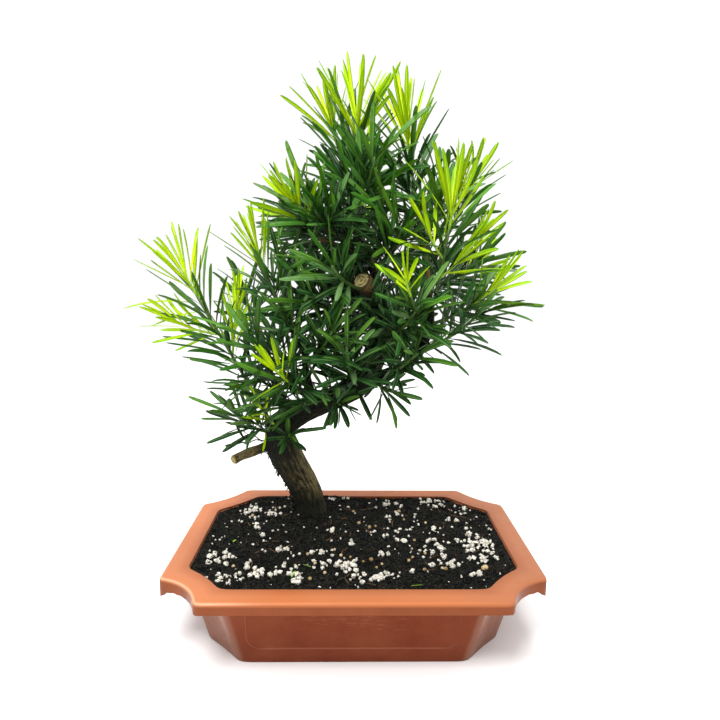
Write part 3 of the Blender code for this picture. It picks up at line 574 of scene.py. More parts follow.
def soil_material(colours):
    """Damp peat potting soil: nearly black, brown fibres, rough all over."""
    material, tree, shader = new_material("peat_potting_soil", 0.92, Specular_IOR_Level=0.12)
    place = node(tree, "TexCoord", output="Object")
    crumbs, fibres, specks, dirt = (
        node(tree, "TexNoise", {
            "Vector": place, "Scale": 1 / (size * MM), "Detail": detail, "Roughness": rough})
        for size, detail, rough in ((2.4, 6.0, 0.7), (7.0, 4.0, 0.6), (1.4, 3.0, 0.55), (0.9, 3.0, 0.6)))
    colour = layered(
        tree, srgb("#030403"),
        (tuple(colours.soil), (crumbs, 0.42, 0.6)),
        ("#2E2216", (fibres, 0.52, 0.72, 0.0, 0.7)),
        ("#5A5344", (specks, 0.58, 0.66, 0.0, 0.7)),
    )
    relief = node(tree, "Bump", {"Height": dirt, "Distance": 0.6 * MM})
    relief = node(tree, "Bump", {"Height": crumbs, "Distance": 2.6 * MM, "Normal": relief})
    link_surface(tree, shader, Base_Color=colour, Normal=relief)
    return material


def perlite_material(colours):
    """Expanded perlite: chalky white volcanic glass, pitted, a little soiled."""
    material, tree, shader = new_material("expanded_perlite", 0.85, Subsurface_Weight=0.1)
    shader.inputs["Subsurface Radius"].default_value = (0.001, 0.001, 0.001)
    place = node(tree, "TexCoord", output="Object")
    soiled, pits, chalk = (
        node(tree, "TexNoise", {
            "Vector": place, "Scale": 1 / (size * MM), "Detail": detail, "Roughness": rough})
        for size, detail, rough in ((3.0, 4.0, 0.55), (1.6, 3.0, 0.55), (1.2, 4.0, 0.65)))
    colour = layered(
        tree, tuple(colours.perlite),
        ("#94886C", (soiled, 0.5, 0.7, 0.0, 0.65)),
        # Dark pits: soil caught in the pores, and painted shade inside them
        ("#4A4234", (pits, 0.46, 0.38, 0.0, 0.85)),
    )
    relief = node(tree, "Bump", {"Height": chalk, "Distance": 0.6 * MM})
    link_surface(tree, shader, Base_Color=colour, Normal=relief)
    return material


def bead_material(colours):
    """Resin-coated fertiliser beads: cream to tan, satin, dusty."""
    material, tree, shader = new_material("coated_fertiliser", 0.5)
    place = node(tree, "TexCoord", output="Object")
    patches, dust, coat = (
        node(tree, "TexNoise", {
            "Vector": place, "Scale": 1 / (size * MM), "Detail": detail, "Roughness": 0.55})
        for size, detail in ((6.0, 2.0), (0.9, 3.0), (0.6, 3.0)))
    colour = layered(
        tree, tuple(colours.bead),
        ("#8C6B3C", (patches, 0.4, 0.62)),
        ("#3A3024", (dust, 0.5, 0.7, 0.0, 0.6)),
    )
    relief = node(tree, "Bump", {"Height": coat, "Distance": 0.08 * MM})
    link_surface(tree, shader, Base_Color=colour, Normal=relief)
    return material


def bark_material(colours):
    """Old bark of the trunk: thin, fibrous, peeling, olive where it is lit and dry, with painted light
    on the side towards the light and painted shade on the side away and under the crown, black where
    damp.
    """
    material, tree, shader = new_material("fibrous_bark", 0.88, Specular_IOR_Level=0.2)
    along_trunk = node(tree, "Attribute", output="Vector", attribute_name="grain")
    place = node(tree, "TexCoord", output="Object")
    x, y, z = node(tree, "SeparateXYZ", (place,), None)
    sideways = node(tree, "SeparateXYZ", (node(tree, "NewGeometry", output="Normal"),), "X")
    # Strips 3 mm wide, scales of 2 mm and fibres, all drawn out lengthwise, then crumbs and moss
    strips, scales, fibres, crumbs, moss = (
        node(tree, "TexNoise", {
            "Vector": vector, "Scale": 1 / (size * MM), "Detail": detail, "Roughness": rough})
        for vector, size, detail, rough in (
            (along_trunk, 3.0, 6.0, 0.65), (along_trunk, 2.0, 3.0, 0.6), (along_trunk, 0.9, 4.0, 0.6),
            (place, 1.3, 4.0, 0.65), (place, 9.0, 4.0, 0.55)))
    off_stub = (x, -0.1, -0.085)
    colour = layered(
        tree, tuple(colours.bark_dark),
        (tuple(colours.bark), (strips, 0.38, 0.64)),
        ("#4E5228", (moss, 0.54, 0.68, 0.0, 0.5)),
        # The bare stub on the left is paler, and the side towards the light is painted lighter, as
        # painted light
        ("#6A5C3A", (x, -0.082, -0.096, 0.0, 0.8)),
        ("#8C7C50", (sideways, 0.4, 0.95, 0.0, 0.65)),
        # Thin scales that have dried paler, with black between them
        ("#6E6542", (scales, 0.54, 0.62, 0.0, 0.75)),
        ("#080907", (scales, 0.46, 0.38, 0.0, 0.9)),
        ("#8C8056", (crumbs, 0.55, 0.68, 0.0, 0.7)),
        ("#0A0A07", (crumbs, 0.45, 0.36, 0.0, 0.85)),
        # Bare wood round the chopped end of the leader, painted lighter still as painted light in the
        # crown's shade
        ("#94764C", (z, 0.292, 0.302, 0.0, 0.75), (y, 0.034, 0.026)),
        # Painted shade on the side away from the light; painted shade under the crown, on bark that is
        # damp there too; damp and darker near the soil
        ("#0E100C", (sideways, 0.3, -0.6, 0.0, 0.9), off_stub),
        ("#0E110D", (z, 0.112, 0.14, 0.0, 0.85), off_stub, (z, 0.304, 0.29),
         (sideways, 0.95, 0.6, 0.3, 1.0)),
        ("#12150F", (z, 0.104, 0.084, 0.0, 0.88)),
    )
    relief = node(tree, "Bump", {"Height": fibres, "Distance": 0.3 * MM})
    relief = node(tree, "Bump", {"Height": crumbs, "Distance": 0.5 * MM, "Normal": relief})
    relief = node(tree, "Bump", {"Height": strips, "Distance": 1.1 * MM, "Normal": relief})
    link_surface(tree, shader, Base_Color=colour, Normal=relief)
    return material


def sawn_material(colours):
    """Weathered sawn end grain: growth rings, a dark pith and drying cracks."""
    material, tree, shader = new_material("weathered_end_grain", 0.8)
    face = node(tree, "UVMap", output="UV", uv_map="face")
    centred = node(tree, "VectorMath", (face, (-0.5, -0.5, 0.0)), operation="ADD")
    # The rings are out of round: each spot drifts with a noise, and the whole is put back in place
    drift, regain = 0.22, 1.28
    wobble = node(tree, "TexNoise", {"Vector": centred, "Scale": 5.0, "Detail": 3.0}, "Color")
    moved = node(tree, "Mix", {0: drift, 4: centred, 5: wobble}, 1, data_type="VECTOR")
    moved = node(tree, "VectorMath", (moved, (-drift / 2, -drift / 2, 0.0)), operation="ADD")
    moved = node(tree, "VectorMath", (moved, (regain, regain, 0.0)), operation="MULTIPLY")
    radius = node(tree, "VectorMath", (moved,), "Value", operation="LENGTH")
    rings = node(tree, "Math", (radius, RING_TURNS), operation="MULTIPLY")
    rings = node(tree, "Math", (rings,), operation="SINE")
    cracks = node(tree, "TexNoise", {"Vector": centred, "Scale": 7.0, "Detail": 4.0})
    x = node(tree, "SeparateXYZ", (node(tree, "TexCoord", output="Object"),))
    colour = layered(
        # Painted light: the wood is painted lighter for the leader's face, which lies in the crown's
        # shade
        tree, tuple(colours.sawn),
        ("#6A5228", (rings, -0.4, 1.0, 0.0, 0.8), (cracks, 0.62, 0.45, 0.1, 1.0)),
        # The pith, the bark's edge and the cracks
        ("#5A4426", (radius, 0.12, 0.02, 0.0, 0.6)),
        ("#3A2A16", (radius, 0.4, 0.46, 0.0, 0.9)),
        ("#4A3A20", (cracks, 0.44, 0.37, 0.0, 0.85)),
        # The small stub on the left is older and greener, and lacks the painted light of the leader's
        # face
        ("#7C7040", (x, -0.09, -0.1, 0.0, 0.7)),
    )
    relief = node(tree, "Bump", {"Height": rings, "Distance": 0.12 * MM})
    link_surface(tree, shader, Base_Color=colour, Normal=relief)
    return material


def scrap_material(name, roughness, codes, patch, detail, low, fine, depth):
    """Skin of a twig or a plant scrap: two colours in soft patches, with a fine grain."""
    material, tree, shader = new_material(name, roughness)
    place = node(tree, "TexCoord", output="Object")
    patches, skin = (
        node(tree, "TexNoise", {
            "Vector": place, "Scale": 1 / (size * MM), "Detail": detail, "Roughness": 0.55})
        for size in (patch, fine))
    colour = layered(tree, srgb(codes[0]), (codes[1], (patches, low, 1 - low)))
    relief = node(tree, "Bump", {"Height": skin, "Distance": depth * MM})
    link_surface(tree, shader, Base_Color=colour, Normal=relief)
    return material


def leaf_fields(tree):
    """Sockets that a leaf reads: its tone, age and depth in the crown, and places round and along it.

    The last one is how far a spot lies from the rib, on either side of the leaf.
    """
    kept = node(tree, "Attribute", output="Color", attribute_name="leaf")
    blade = node(tree, "UVMap", output="UV", uv_map="blade")
    round_edge, length, _ = node(tree, "SeparateXYZ", (blade,), None)
    from_rib = node(tree, "Math", (round_edge, 2.0), operation="MULTIPLY")
    from_rib = node(tree, "Math", (from_rib,), operation="FRACT")
    from_rib = node(tree, "Math", (from_rib, 0.5), operation="SUBTRACT")
    from_rib = node(tree, "Math", (from_rib,), operation="ABSOLUTE")
    return (*node(tree, "SeparateColor", (kept,), None), round_edge, length, from_rib)


def finish_leaf(tree, shader, place, from_rib, colour, gloss):
    """Give a leaf its colour, a gloss in patches of 12 mm between two values, and veins along it."""
    patches = node(tree, "TexNoise", {
        "Vector": place, "Scale": 1 / (12.0 * MM), "Detail": 2.0, "Roughness": 0.55})
    veins = node(tree, "Math", (from_rib, VEINS), operation="MULTIPLY")
    veins = node(tree, "Math", (veins,), operation="SINE")
    relief = node(tree, "Bump", {"Height": veins, "Distance": 0.03 * MM})
    gloss = node(tree, "MapRange", (patches, 0.35, 0.65, *gloss))
    link_surface(tree, shader, Base_Color=colour, Roughness=gloss, Normal=relief)


def leaf_material(colours):
    """Mature leaf: leathery, waxed, deep green with a paler rib, greyer below."""
    material, tree, shader = new_material("leathery_leaf", 0.4, Specular_IOR_Level=0.14)
    tone, age, inner, round_edge, length, from_rib = leaf_fields(tree)
    place = node(tree, "TexCoord", output="Object")
    x, _, height = node(tree, "SeparateXYZ", (place,), None)
    clouds = node(tree, "TexNoise", {
        "Vector": place, "Scale": 1 / (7.0 * MM), "Detail": 3.0, "Roughness": 0.55})
    # Each leaf's own tone, at random; the lightest is greyed as a painted sheen
    own = node(tree, "ValToRGB", (tone,), "Color", stops=(
        (0.0, tuple(colours.leaf_dark)), (0.5, srgb("#1A4A20")), (0.8, tuple(colours.leaf)),
        (1.0, srgb("#6E8A5C"))))
    under = node(tree, "Math", (round_edge, 0.5), operation="GREATER_THAN")
    # Painted light on the leaves high up and far left, where the light falls
    far_left = mask(tree, (x, -0.08, -0.11, 0.0, 0.7), (height, 0.18, 0.22))
    painted_light = node(tree, "MapRange", (height, 0.28, 0.38, 0.0, 0.7))
    painted_light = node(tree, "Math", (painted_light, far_left), operation="MAXIMUM")
    yellower = layered(tree, srgb("#0E3604"), ("#38760A", tone))
    outside = (inner, 0.35, 0.0)
    colour = layered(
        tree, own,
        ("#22541E", (clouds, 0.4, 0.7, 0.0, 0.35)),
        # Its rib, a painted highlight along its edge, and its underside
        ("#84A65C", (from_rib, 0.11, 0.04, 0.0, 0.55)),
        ("#6C9858", (from_rib, 0.36, 0.47, 0.0, 0.4)),
        ("#36662C", (under, 0.0, 1.0, 0.0, 0.5)),
        # Leaves low in the crown are greyer; outside, high up and far left, they are painted yellower,
        # as painted light
        ("#2C4A2C", (height, 0.30, 0.22, 0.0, 0.35)),
        (yellower, outside, painted_light),
        # Outside, the leaves nearest the end of a shoot are the youngest
        ("#6CA00A", outside, (age, 0.6, 1.0, 0.0, 0.35)),
        # Painted shade at each leaf's foot by its stem, and painted shade on the leaves deep in the
        # crown, which are older too
        ("#0A2A06", (length, 0.55, 0.0, 0.0, 0.8)),
        ("#061A0C", (inner, 0.0, 1.0, 0.0, 0.9)),
    )
    finish_leaf(tree, shader, place, from_rib, colour, (0.26, 0.46))
    return material


def new_leaf_material(colours):
    """New leaf: soft and thin, yellow-green at its foot and greener to its tip, lets light through."""
    material, tree, shader = new_material(
        "tender_leaf", 0.45, Specular_IOR_Level=0.07, Subsurface_Weight=0.2)
    shader.inputs["Subsurface Radius"].default_value = (0.004, 0.006, 0.001)
    tone, age, _, _, length, from_rib = leaf_fields(tree)
    place = node(tree, "TexCoord", output="Object")
    x, _, height = node(tree, "SeparateXYZ", (place,), None)
    clouds = node(tree, "TexNoise", {
        "Vector": place, "Scale": 1 / (8.0 * MM), "Detail": 3.0, "Roughness": 0.55})
    # The youngest leaves, at the end of the stem, are yellow further out
    reach = node(tree, "Math", (age, 0.35), operation="MULTIPLY")
    reach = node(tree, "Math", (length, reach), operation="SUBTRACT")
    colour = layered(
        tree, tuple(colours.new_base),
        (tuple(colours.new_tip), (reach, 0.1, 0.9)),
        ("#6CA008", (tone, 0.0, 1.0, 0.0, 0.35)),
        ("#A8D60C", (clouds, 0.4, 0.7, 0.0, 0.3)),
        # The tufts on the right are a little older and greener, and their lowest leaf is full grown
        ("#5C9412", (x, 0.05, 0.08, 0.0, 0.3)),
        ("#2A5A1E", (x, 0.1, 0.118, 0.0, 0.9), (height, 0.3, 0.296)),
        # Its edges stay green, and its rib is pale
        ("#64A00A", (from_rib, 0.3, 0.46, 0.0, 0.4)),
        ("#DCF03C", (from_rib, 0.11, 0.04, 0.0, 0.5)),
    )
    finish_leaf(tree, shader, place, from_rib, colour, (0.38, 0.52))
    return material


def floor_material(colours):
    """Matt painted board of a photographer's table: pale and almost even."""
    material, tree, shader = new_material("matt_painted_board", 0.85)
    place = node(tree, "TexCoord", output="Object")
    patches = node(tree, "TexNoise", {
        "Vector": place, "Scale": 1 / (300.0 * MM), "Detail": 2.0, "Roughness": 0.55})
    pale = tuple(colours.floor)
    shaded = tuple(value * 0.992 for value in pale[:3]) + (1.0,)
    link_surface(tree, shader, Base_Color=layered(tree, pale, (shaded, (patches, 0.3, 0.7))))
    return material


def finished_piece(name, bm, materials, nodes=(), sharp=None):
    """Turn a bmesh into a named piece that rides on the model and stands for its nodes."""
    bmesh.ops.recalc_face_normals(bm, faces=bm.faces)
    mesh = bpy.data.meshes.new(name)
    bm.to_mesh(mesh)
    bm.free()
    piece = bpy.data.objects.new(name, mesh)
    bpy.context.scene.collection.objects.link(piece)
    for material in materials:
        mesh.materials.append(material)
    mesh.shade_smooth()
    if sharp is not None:
        mesh.set_sharp_from_angle(angle=math.radians(sharp))
    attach(piece, "root")
    if nodes:
        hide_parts(*nodes)


def sweep(bm, sections):
    """Closed skin through rings of points, drawn by extruding the first ring from one to the next."""
    before = set(bm.faces)
    ring = bmesh.ops.create_circle(bm, segments=len(sections[0]), radius=1.0)["verts"]
    for vertex, point in zip(ring, sections[0]):
        vertex.co = Vector(point) * MM
    start = ring
    for section in sections[1:]:
        edges = [bm.edges.get((ring[index - 1], vertex)) for index, vertex in enumerate(ring)]
        made = bmesh.ops.extrude_edge_only(bm, edges=edges)["geom"]
        fresh = {item for item in made if isinstance(item, bmesh.types.BMVert)}
        ring = [next(edge.other_vert(vertex) for edge in vertex.link_edges
                     if edge.other_vert(vertex) in fresh) for vertex in ring]
        for vertex, point in zip(ring, section):
            vertex.co = Vector(point) * MM
    for end in (start, ring):
        edges = [bm.edges.get((end[index - 1], vertex)) for index, vertex in enumerate(end)]
        bmesh.ops.contextual_create(bm, geom=edges)
    return [face for face in bm.faces if face not in before]


def smooth_line(knots, step):
    """Points about a step apart on a smooth line through knots of (x, y, z, radius), with radii."""
    points, radii = [], []
    for index in range(len(knots) - 1):
        row = [Vector(knots[min(max(index + shift, 0), len(knots) - 1)]) for shift in (-1, 0, 1, 2)]
        before, start, end, after = row
        count = max(1, round((end.xyz - start.xyz).length / step))
        for piece in range(count):
            t = piece / count
            value = (start * 2 + (end - before) * t
                     + (before * 2 - start * 5 + end * 4 - after) * t * t
                     + (start * 3 - before - end * 3 + after) * t * t * t) / 2
            points.append(value.xyz)
            radii.append(value.w)
    points.append(Vector(knots[-1][:3]))
    radii.append(knots[-1][3])
    return points, radii


def rings_along(points, radii, sides):
    """Rings square to a line, carried along it without twist."""
    side = (points[1] - points[0]).orthogonal().normalized()
    rings = []
    for index, (point, radius) in enumerate(zip(points, radii)):
        axis = (points[min(index + 1, len(points) - 1)] - points[max(index - 1, 0)]).normalized()
        side = (side - axis * side.dot(axis)).normalized()
        other = axis.cross(side)
        turns = [math.tau * corner / sides for corner in range(sides)]
        rings.append([point + (side * math.cos(turn) + other * math.sin(turn)) * radius
                      for turn in turns])
    return rings


def add_tube(bm, points, radii, sides):
    """Tube along a line of points, added to a bmesh."""
    return sweep(bm, rings_along(points, radii, sides))


def outline(half_x, half_y, front, back):
    """Points of one outline: four sides joined by corner arcs, each given by its cut and its bow."""
    points = []
    for sign_x, sign_y in ((1, -1), (1, 1), (-1, 1), (-1, -1)):
        leg, hollow = front if sign_y < 0 else back
        on_side = Vector((sign_x * (half_x - leg), sign_y * half_y))
        on_end = Vector((sign_x * half_x, sign_y * (half_y - leg)))
        start, end = (on_side, on_end) if sign_x * sign_y < 0 else (on_end, on_side)
        inwards = Vector((-sign_x, -sign_y)).normalized() * hollow
        for step in range(CORNER_STEPS + 1):
            share = step / CORNER_STEPS
            points.append(start.lerp(end, share) + inwards * 4 * share * (1 - share))
    filled = []
    for index, point in enumerate(points):
        filled.append(point)
        if index % (CORNER_STEPS + 1) == CORNER_STEPS:
            following = points[(index + 1) % len(points)]
            filled += [point.lerp(following, step / SIDE_STEPS) for step in range(1, SIDE_STEPS)]
    return filled


def eased(points, rounds):
    """Outline with its corners rounded off, by moving each point between its neighbours."""
    for _ in range(rounds):
        points = [points[index - 1] * 0.25 + point * 0.5 + points[(index + 1) % len(points)] * 0.25
                  for index, point in enumerate(points)]
    return points


def rim_outline(inset, rounds=1):
    """Outline of the rim at an inset from its edge, between the rim's edge and its mouth."""
    front, back = (Vector(edge).lerp(Vector(mouth), inset / RIM_WIDTH)
                   for edge, mouth in (FRONT_SCOOP, BACK_SCOOP))
    return eased(outline(POT_LENGTH / 2 - inset, POT_DEPTH / 2 - inset, front, back), rounds)


def inner_outline(height, inset=0.0, rounds=3):
    """Outline inside the pot's wall at a height, between the floor's outline and the rim's."""
    half_x, half_y = (half - WALL - inset for half in BODY_FOOT_HALF)
    floor = eased(outline(half_x, half_y, BODY_CORNER_FOOT, BODY_CORNER_FOOT), rounds)
    mouth = rim_outline(RIM_WIDTH + inset, rounds)
    share = (height - WALL) / (POT_HEIGHT - WALL)
    return [low.lerp(high, share) for low, high in zip(floor, mouth)]


def body_outline(height, inset=0.0):
    """Outline of the tub's outside at a height."""
    foot, top = (outline(half[0] - inset, half[1] - inset, corner, corner) for half, corner in
                 ((BODY_FOOT_HALF, BODY_CORNER_FOOT), (BODY_TOP_HALF, BODY_CORNER_TOP)))
    share = height / (POT_HEIGHT - WALL)
    return eased([low.lerp(high, share) for low, high in zip(foot, top)], 3)


def raised(points, height):
    """Points of an outline raised to a height."""
    return [(point.x, point.y, height) for point in points]


def lip_bottom(point):
    """Height of the lip's lower edge: ragged along the front scoops, deeper to a nib at each tip."""
    reach = FRONT_SCOOP[0][0]
    share = min(1.0, max(0.0, (abs(point.x) - POT_LENGTH / 2 + reach) / reach))
    height = POT_HEIGHT - LIP_DROP_FRONT - (LIP_DROP_SIDE - LIP_DROP_FRONT) * share ** 2
    place = Vector((abs(point.x), abs(point.y)))
    if (place - Vector((POT_LENGTH, POT_DEPTH)) / 2).length < reach + 2:
        height += noise.noise(Vector((point.x, point.y, 0)) / LIP_RAGGED_SIZE) * LIP_RAGGED
    near_tip = (place - Vector((POT_LENGTH / 2, POT_DEPTH / 2 - reach))).length
    return height - LIP_NIB * max(0.0, 1 - near_tip / LIP_NIB_REACH) ** 0.7


def build_pot(colours):
    """Moulded tray: tapered tub, flat rim with a turned-down lip and a faint panel on its face."""
    materials = [pot_material(colours, tub) for tub in (False, True)]
    under_rim = POT_HEIGHT - WALL
    sections = [raised(body_outline(0, 3.0), 0.9), raised(body_outline(0, 2.4), 0.0),
                raised(body_outline(0, 0.4), 0.0), raised(body_outline(0.2, 0.1), 0.15),
                raised(body_outline(0.8), 0.7)]
    sections += [raised(body_outline(height), height) for height in (4, 14, 26, 38, 50, 60)]
    sections += [raised(body_outline(under_rim - 1.2), under_rim - 1.2)]
    sections += [raised(body_outline(under_rim, -0.8), under_rim)]
    sections += [raised(rim_outline(WALL + 1.0), under_rim), raised(rim_outline(WALL), under_rim - 1.0)]
    bottom = [lip_bottom(point) for point in rim_outline(0.0)]
    for inset, rise in ((WALL, 0.3), (WALL * 0.75, -0.1), (WALL * 0.25, -0.1), (0.0, 0.2)):
        sections.append([(point.x, point.y, low + rise)
                         for point, low in zip(rim_outline(inset), bottom)])
    for turn in range(0, 91, 18):
        angle = math.radians(turn)
        inset = EDGE_ROLL * (1 - math.cos(angle))
        height = POT_HEIGHT - EDGE_ROLL * (1 - math.sin(angle))
        sections.append(raised(rim_outline(inset), height))
    sections.append(raised(rim_outline(RIM_WIDTH * 0.5, 2), POT_HEIGHT - 0.25))
    for turn in range(90, -1, -18):
        angle = math.radians(turn)
        inset = RIM_WIDTH - MOUTH_ROLL * math.cos(angle)
        height = POT_HEIGHT - MOUTH_ROLL * (1 - math.sin(angle))
        sections.append(raised(rim_outline(inset, 3) if turn else inner_outline(height), height))
    sections += [raised(inner_outline(height), height) for height in (66.0, 60.0, WALL + 1.0, WALL)]
    bm = bmesh.new()
    sweep(bm, sections)
    add_panel(bm)
    # What lies inside this outline and under the soil's edge is the tub, and the rest is the rim
    for face in bm.faces:
        place = face.calc_center_median() / MM
        inward = abs(place.x) + abs(place.y) < 214 and abs(place.x) < 150 and abs(place.y) < 106
        face.material_index = int(inward and place.z < SOIL_EDGE_HEIGHT)
    # How near each point lies to the mouth, for the painted shade there
    layer = bm.verts.layers.float.new("mouth")
    for vertex in bm.verts:
        vertex[layer] = max(0.0, 1 + room_inside(*(vertex.co.xy / MM)) / MOUTH_SHADE)
    finished_piece("moulded_tray", bm, materials, ["pot"], sharp=50)


def add_panel(bm):
    """Faint moulded line round a panel on the front and back faces."""
    for side in (-1, 1):
        path = []
        for centre, first in zip(PANEL_ENDS, (180, 270)):
            for turn in range(first, first + 91, 10):
                path.append((centre + PANEL_CORNER * math.cos(math.radians(turn)),
                             PANEL_FOOT + PANEL_CORNER + PANEL_CORNER * math.sin(math.radians(turn))))
        path = [(path[0][0], PANEL_TOP)] + path + [(path[-1][0], PANEL_TOP)]
        points = []
        for x, z in path:
            share = z / (POT_HEIGHT - WALL)
            wall = BODY_FOOT_HALF[1] + (BODY_TOP_HALF[1] - BODY_FOOT_HALF[1]) * share
            sunk = PANEL_SUNK if z > PANEL_FOOT + PANEL_FOOT_BAND else PANEL_FOOT_SUNK
            points.append(Vector((x, side * (wall - sunk), z)))
        add_tube(bm, points, [PANEL_LINE] * len(points), 6)


def soil_height(x, y):
    """Height of the soil: nearly level, crumbed, and mounded round the trunk."""
    away = math.hypot(x - TRUNK_FOOT[0], y - TRUNK_FOOT[1]) / SOIL_MOUND_RADIUS
    place = Vector((x, y, 0))
    height = SOIL_EDGE_HEIGHT + SOIL_MOUND * math.exp(-away * away)
    height += noise.noise(place / SOIL_BUMP_SIZE) * SOIL_BUMP
    height += SOIL_BANK * min(1.0, max(0.0, 1 - room_inside(x, y) / SOIL_BANK_WIDTH))
    height += noise.noise(place / SOIL_LUMP_SIZE) * SOIL_LUMP
    return height + noise.noise(place / SOIL_CRUMB_SIZE + Vector((7, 3, 1))) * SOIL_CRUMB


def build_soil(colours):
    """Soil to just under the rim, with crumbs in its surface."""
    edge = inner_outline(SOIL_EDGE_HEIGHT, SOIL_GAP)
    sections = []
    for step in range(SOIL_RINGS + 1):
        share = 0.02 + 0.98 * (step / SOIL_RINGS) ** 0.8
        spots = [corner * share for corner in edge]
        sections.append([(spot.x, spot.y, soil_height(spot.x, spot.y)) for spot in spots])
    sections.append(raised(inner_outline(SOIL_EDGE_HEIGHT - 4, SOIL_GAP), SOIL_EDGE_HEIGHT - 4))
    sections.append(raised(inner_outline(WALL, SOIL_GAP), WALL + 0.3))
    bm = bmesh.new()
    sweep(bm, sections)
    finished_piece("potting_soil_bed", bm, [soil_material(colours)], ["soil"])


def room_inside(x, y):
    """How far a spot on the soil lies from the pot's wall."""
    room_x = POT_LENGTH / 2 - RIM_WIDTH - abs(x)
    room_y = POT_DEPTH / 2 - RIM_WIDTH - abs(y)
    leg, hollow = (FRONT_SCOOP if y < 0 else BACK_SCOOP)[1]
    return min(room_x, room_y, (room_x + room_y - leg) / math.sqrt(2) - hollow)


def inside_pot(x, y, margin):
    """Whether a spot lies on the soil, a margin from the pot's wall."""
    return room_inside(x, y) > margin


def grain_template(around, down):
    """Small faceted lump for grains that are repeated by the hundred."""
    bm = bmesh.new()
    bmesh.ops.create_uvsphere(bm, u_segments=around, v_segments=down, radius=1.0)
    mesh = bpy.data.meshes.new("grain_template")
    bm.to_mesh(mesh)
    bm.free()
    return mesh


def add_grain(bm, template, place, size, draw, rough):
    """One lump on the soil, a little flattened, with its own shape and turn."""
    start = len(bm.verts)
    bm.from_mesh(template)
    bm.verts.ensure_lookup_table()
    turn = Matrix.Rotation(draw.uniform(0, math.tau), 3, "Z")
    turn = turn @ Matrix.Rotation(draw.uniform(-0.5, 0.5), 3, "X")
    stretch = Vector((size * draw.uniform(0.8, 1.3), size * draw.uniform(0.7, 1.0), size * 0.8)) / 2
    offset = Vector((draw.uniform(0, 99), draw.uniform(0, 99), 0))
    for vertex in bm.verts[start:]:
        shaped = vertex.co * (1 + rough * noise.noise(vertex.co * 1.6 + offset))
        vertex.co = (place + turn @ (shaped * stretch)) * MM


def strewn(draw, centre, reach):
    """Seeded spot near a centre."""
    return draw.gauss(centre[0], reach * 0.6), draw.gauss(centre[1], reach * 0.6)


def build_topping(sizes, colours):
    """Perlite, fertiliser beads, crumbs, twigs and green bits that lie on the soil."""
    template = grain_template(8, 6)
    draw = random.Random(11)
    perlite = bmesh.new()
    size = sizes.perlite_size / MM
    for centre, reach, count in PERLITE_CLUSTERS:
        for _ in range(count):
            x, y = strewn(draw, centre, reach)
            wide = size * draw.choice(PERLITE_SIZES)
            if inside_pot(x, y, 2.0) and clear_of_trunk(x, y):
                for _ in range(1 if wide < size * 0.9 else 2):
                    spot = Vector((x + draw.gauss(0, wide * 0.5), y + draw.gauss(0, wide * 0.5), 0))
                    spot.z = soil_height(x, y) + wide * draw.uniform(0.12, 0.3)
                    if inside_pot(spot.x, spot.y, wide):
                        add_grain(perlite, template, spot, wide * draw.uniform(0.7, 1.05), draw, 0.8)
    for _ in range(STRAY_PERLITE):
        x, y = (draw.uniform(-half, half) for half in STRAY_HALF)
        wide = size * draw.uniform(0.22, 0.7)
        if inside_pot(x, y, 2.0) and clear_of_trunk(x, y):
            add_grain(perlite, template, Vector((x, y, soil_height(x, y) + wide * 0.2)), wide, draw, 0.6)
    finished_piece("perlite_grains", perlite, [perlite_material(colours)], sharp=60)
    crumbs = bmesh.new()
    coarse = grain_template(5, 4)
    size = sizes.crumb_size / MM
    for _ in range(sizes.crumb_count):
        x, y = (draw.uniform(-half, half) for half in CRUMB_HALF)
        wide = size * draw.uniform(0.5, 1.5)
        if inside_pot(x, y, 1.2):
            add_grain(crumbs, coarse, Vector((x, y, soil_height(x, y) + wide * 0.15)), wide, draw, 0.7)
    finished_piece("peat_crumbs", crumbs, [soil_material(colours)])
    bpy.data.meshes.remove(coarse)
    build_beads(draw, colours)
    build_litter(draw)
    bpy.data.meshes.remove(template)


def clear_of_trunk(x, y):
    """Whether a spot is off the foot of the trunk."""
    return math.hypot(x - TRUNK_FOOT[0], y - TRUNK_FOOT[1]) > CLEAR_OF_TRUNK


def build_beads(draw, colours):
    """Coated fertiliser beads, each with the small hole it drains through."""
    bm = bmesh.new()
    spots = [*BEAD_SPOTS]
    spots += [(draw.uniform(-110, 112), draw.uniform(-78, 70)) for _ in range(STRAY_BEADS)]
    for x, y in spots:
        if not inside_pot(x, y, 4.0) or not clear_of_trunk(x, y):
            continue
        radius = draw.uniform(1.2, 1.9)
        made = bmesh.ops.create_uvsphere(bm, u_segments=10, v_segments=7, radius=radius * MM)["verts"]
        top = max(made, key=lambda vertex: vertex.co.z)
        top.co.z -= radius * 0.7 * MM
        tilt = Matrix.Rotation(draw.uniform(-0.9, 0.9), 4, "X")
        tilt = tilt @ Matrix.Rotation(draw.uniform(-0.9, 0.9), 4, "Y")
        place = Vector((x, y, soil_height(x, y) + radius * 0.55)) * MM
        bmesh.ops.transform(bm, matrix=Matrix.Translation(place) @ tilt, verts=made)
    made = bmesh.ops.create_uvsphere(bm, u_segments=12, v_segments=8, radius=MM)["verts"]
    shape = Matrix.Translation(Vector((*LARGE_BEAD, soil_height(*LARGE_BEAD) + 1.2)) * MM)
    shape = shape @ Matrix.Rotation(0.9, 4, "Z") @ Matrix.Diagonal((*LARGE_BEAD_HALF, 1.0))
    bmesh.ops.transform(bm, matrix=shape, verts=made)
    finished_piece("fertiliser_beads", bm, [bead_material(colours)])


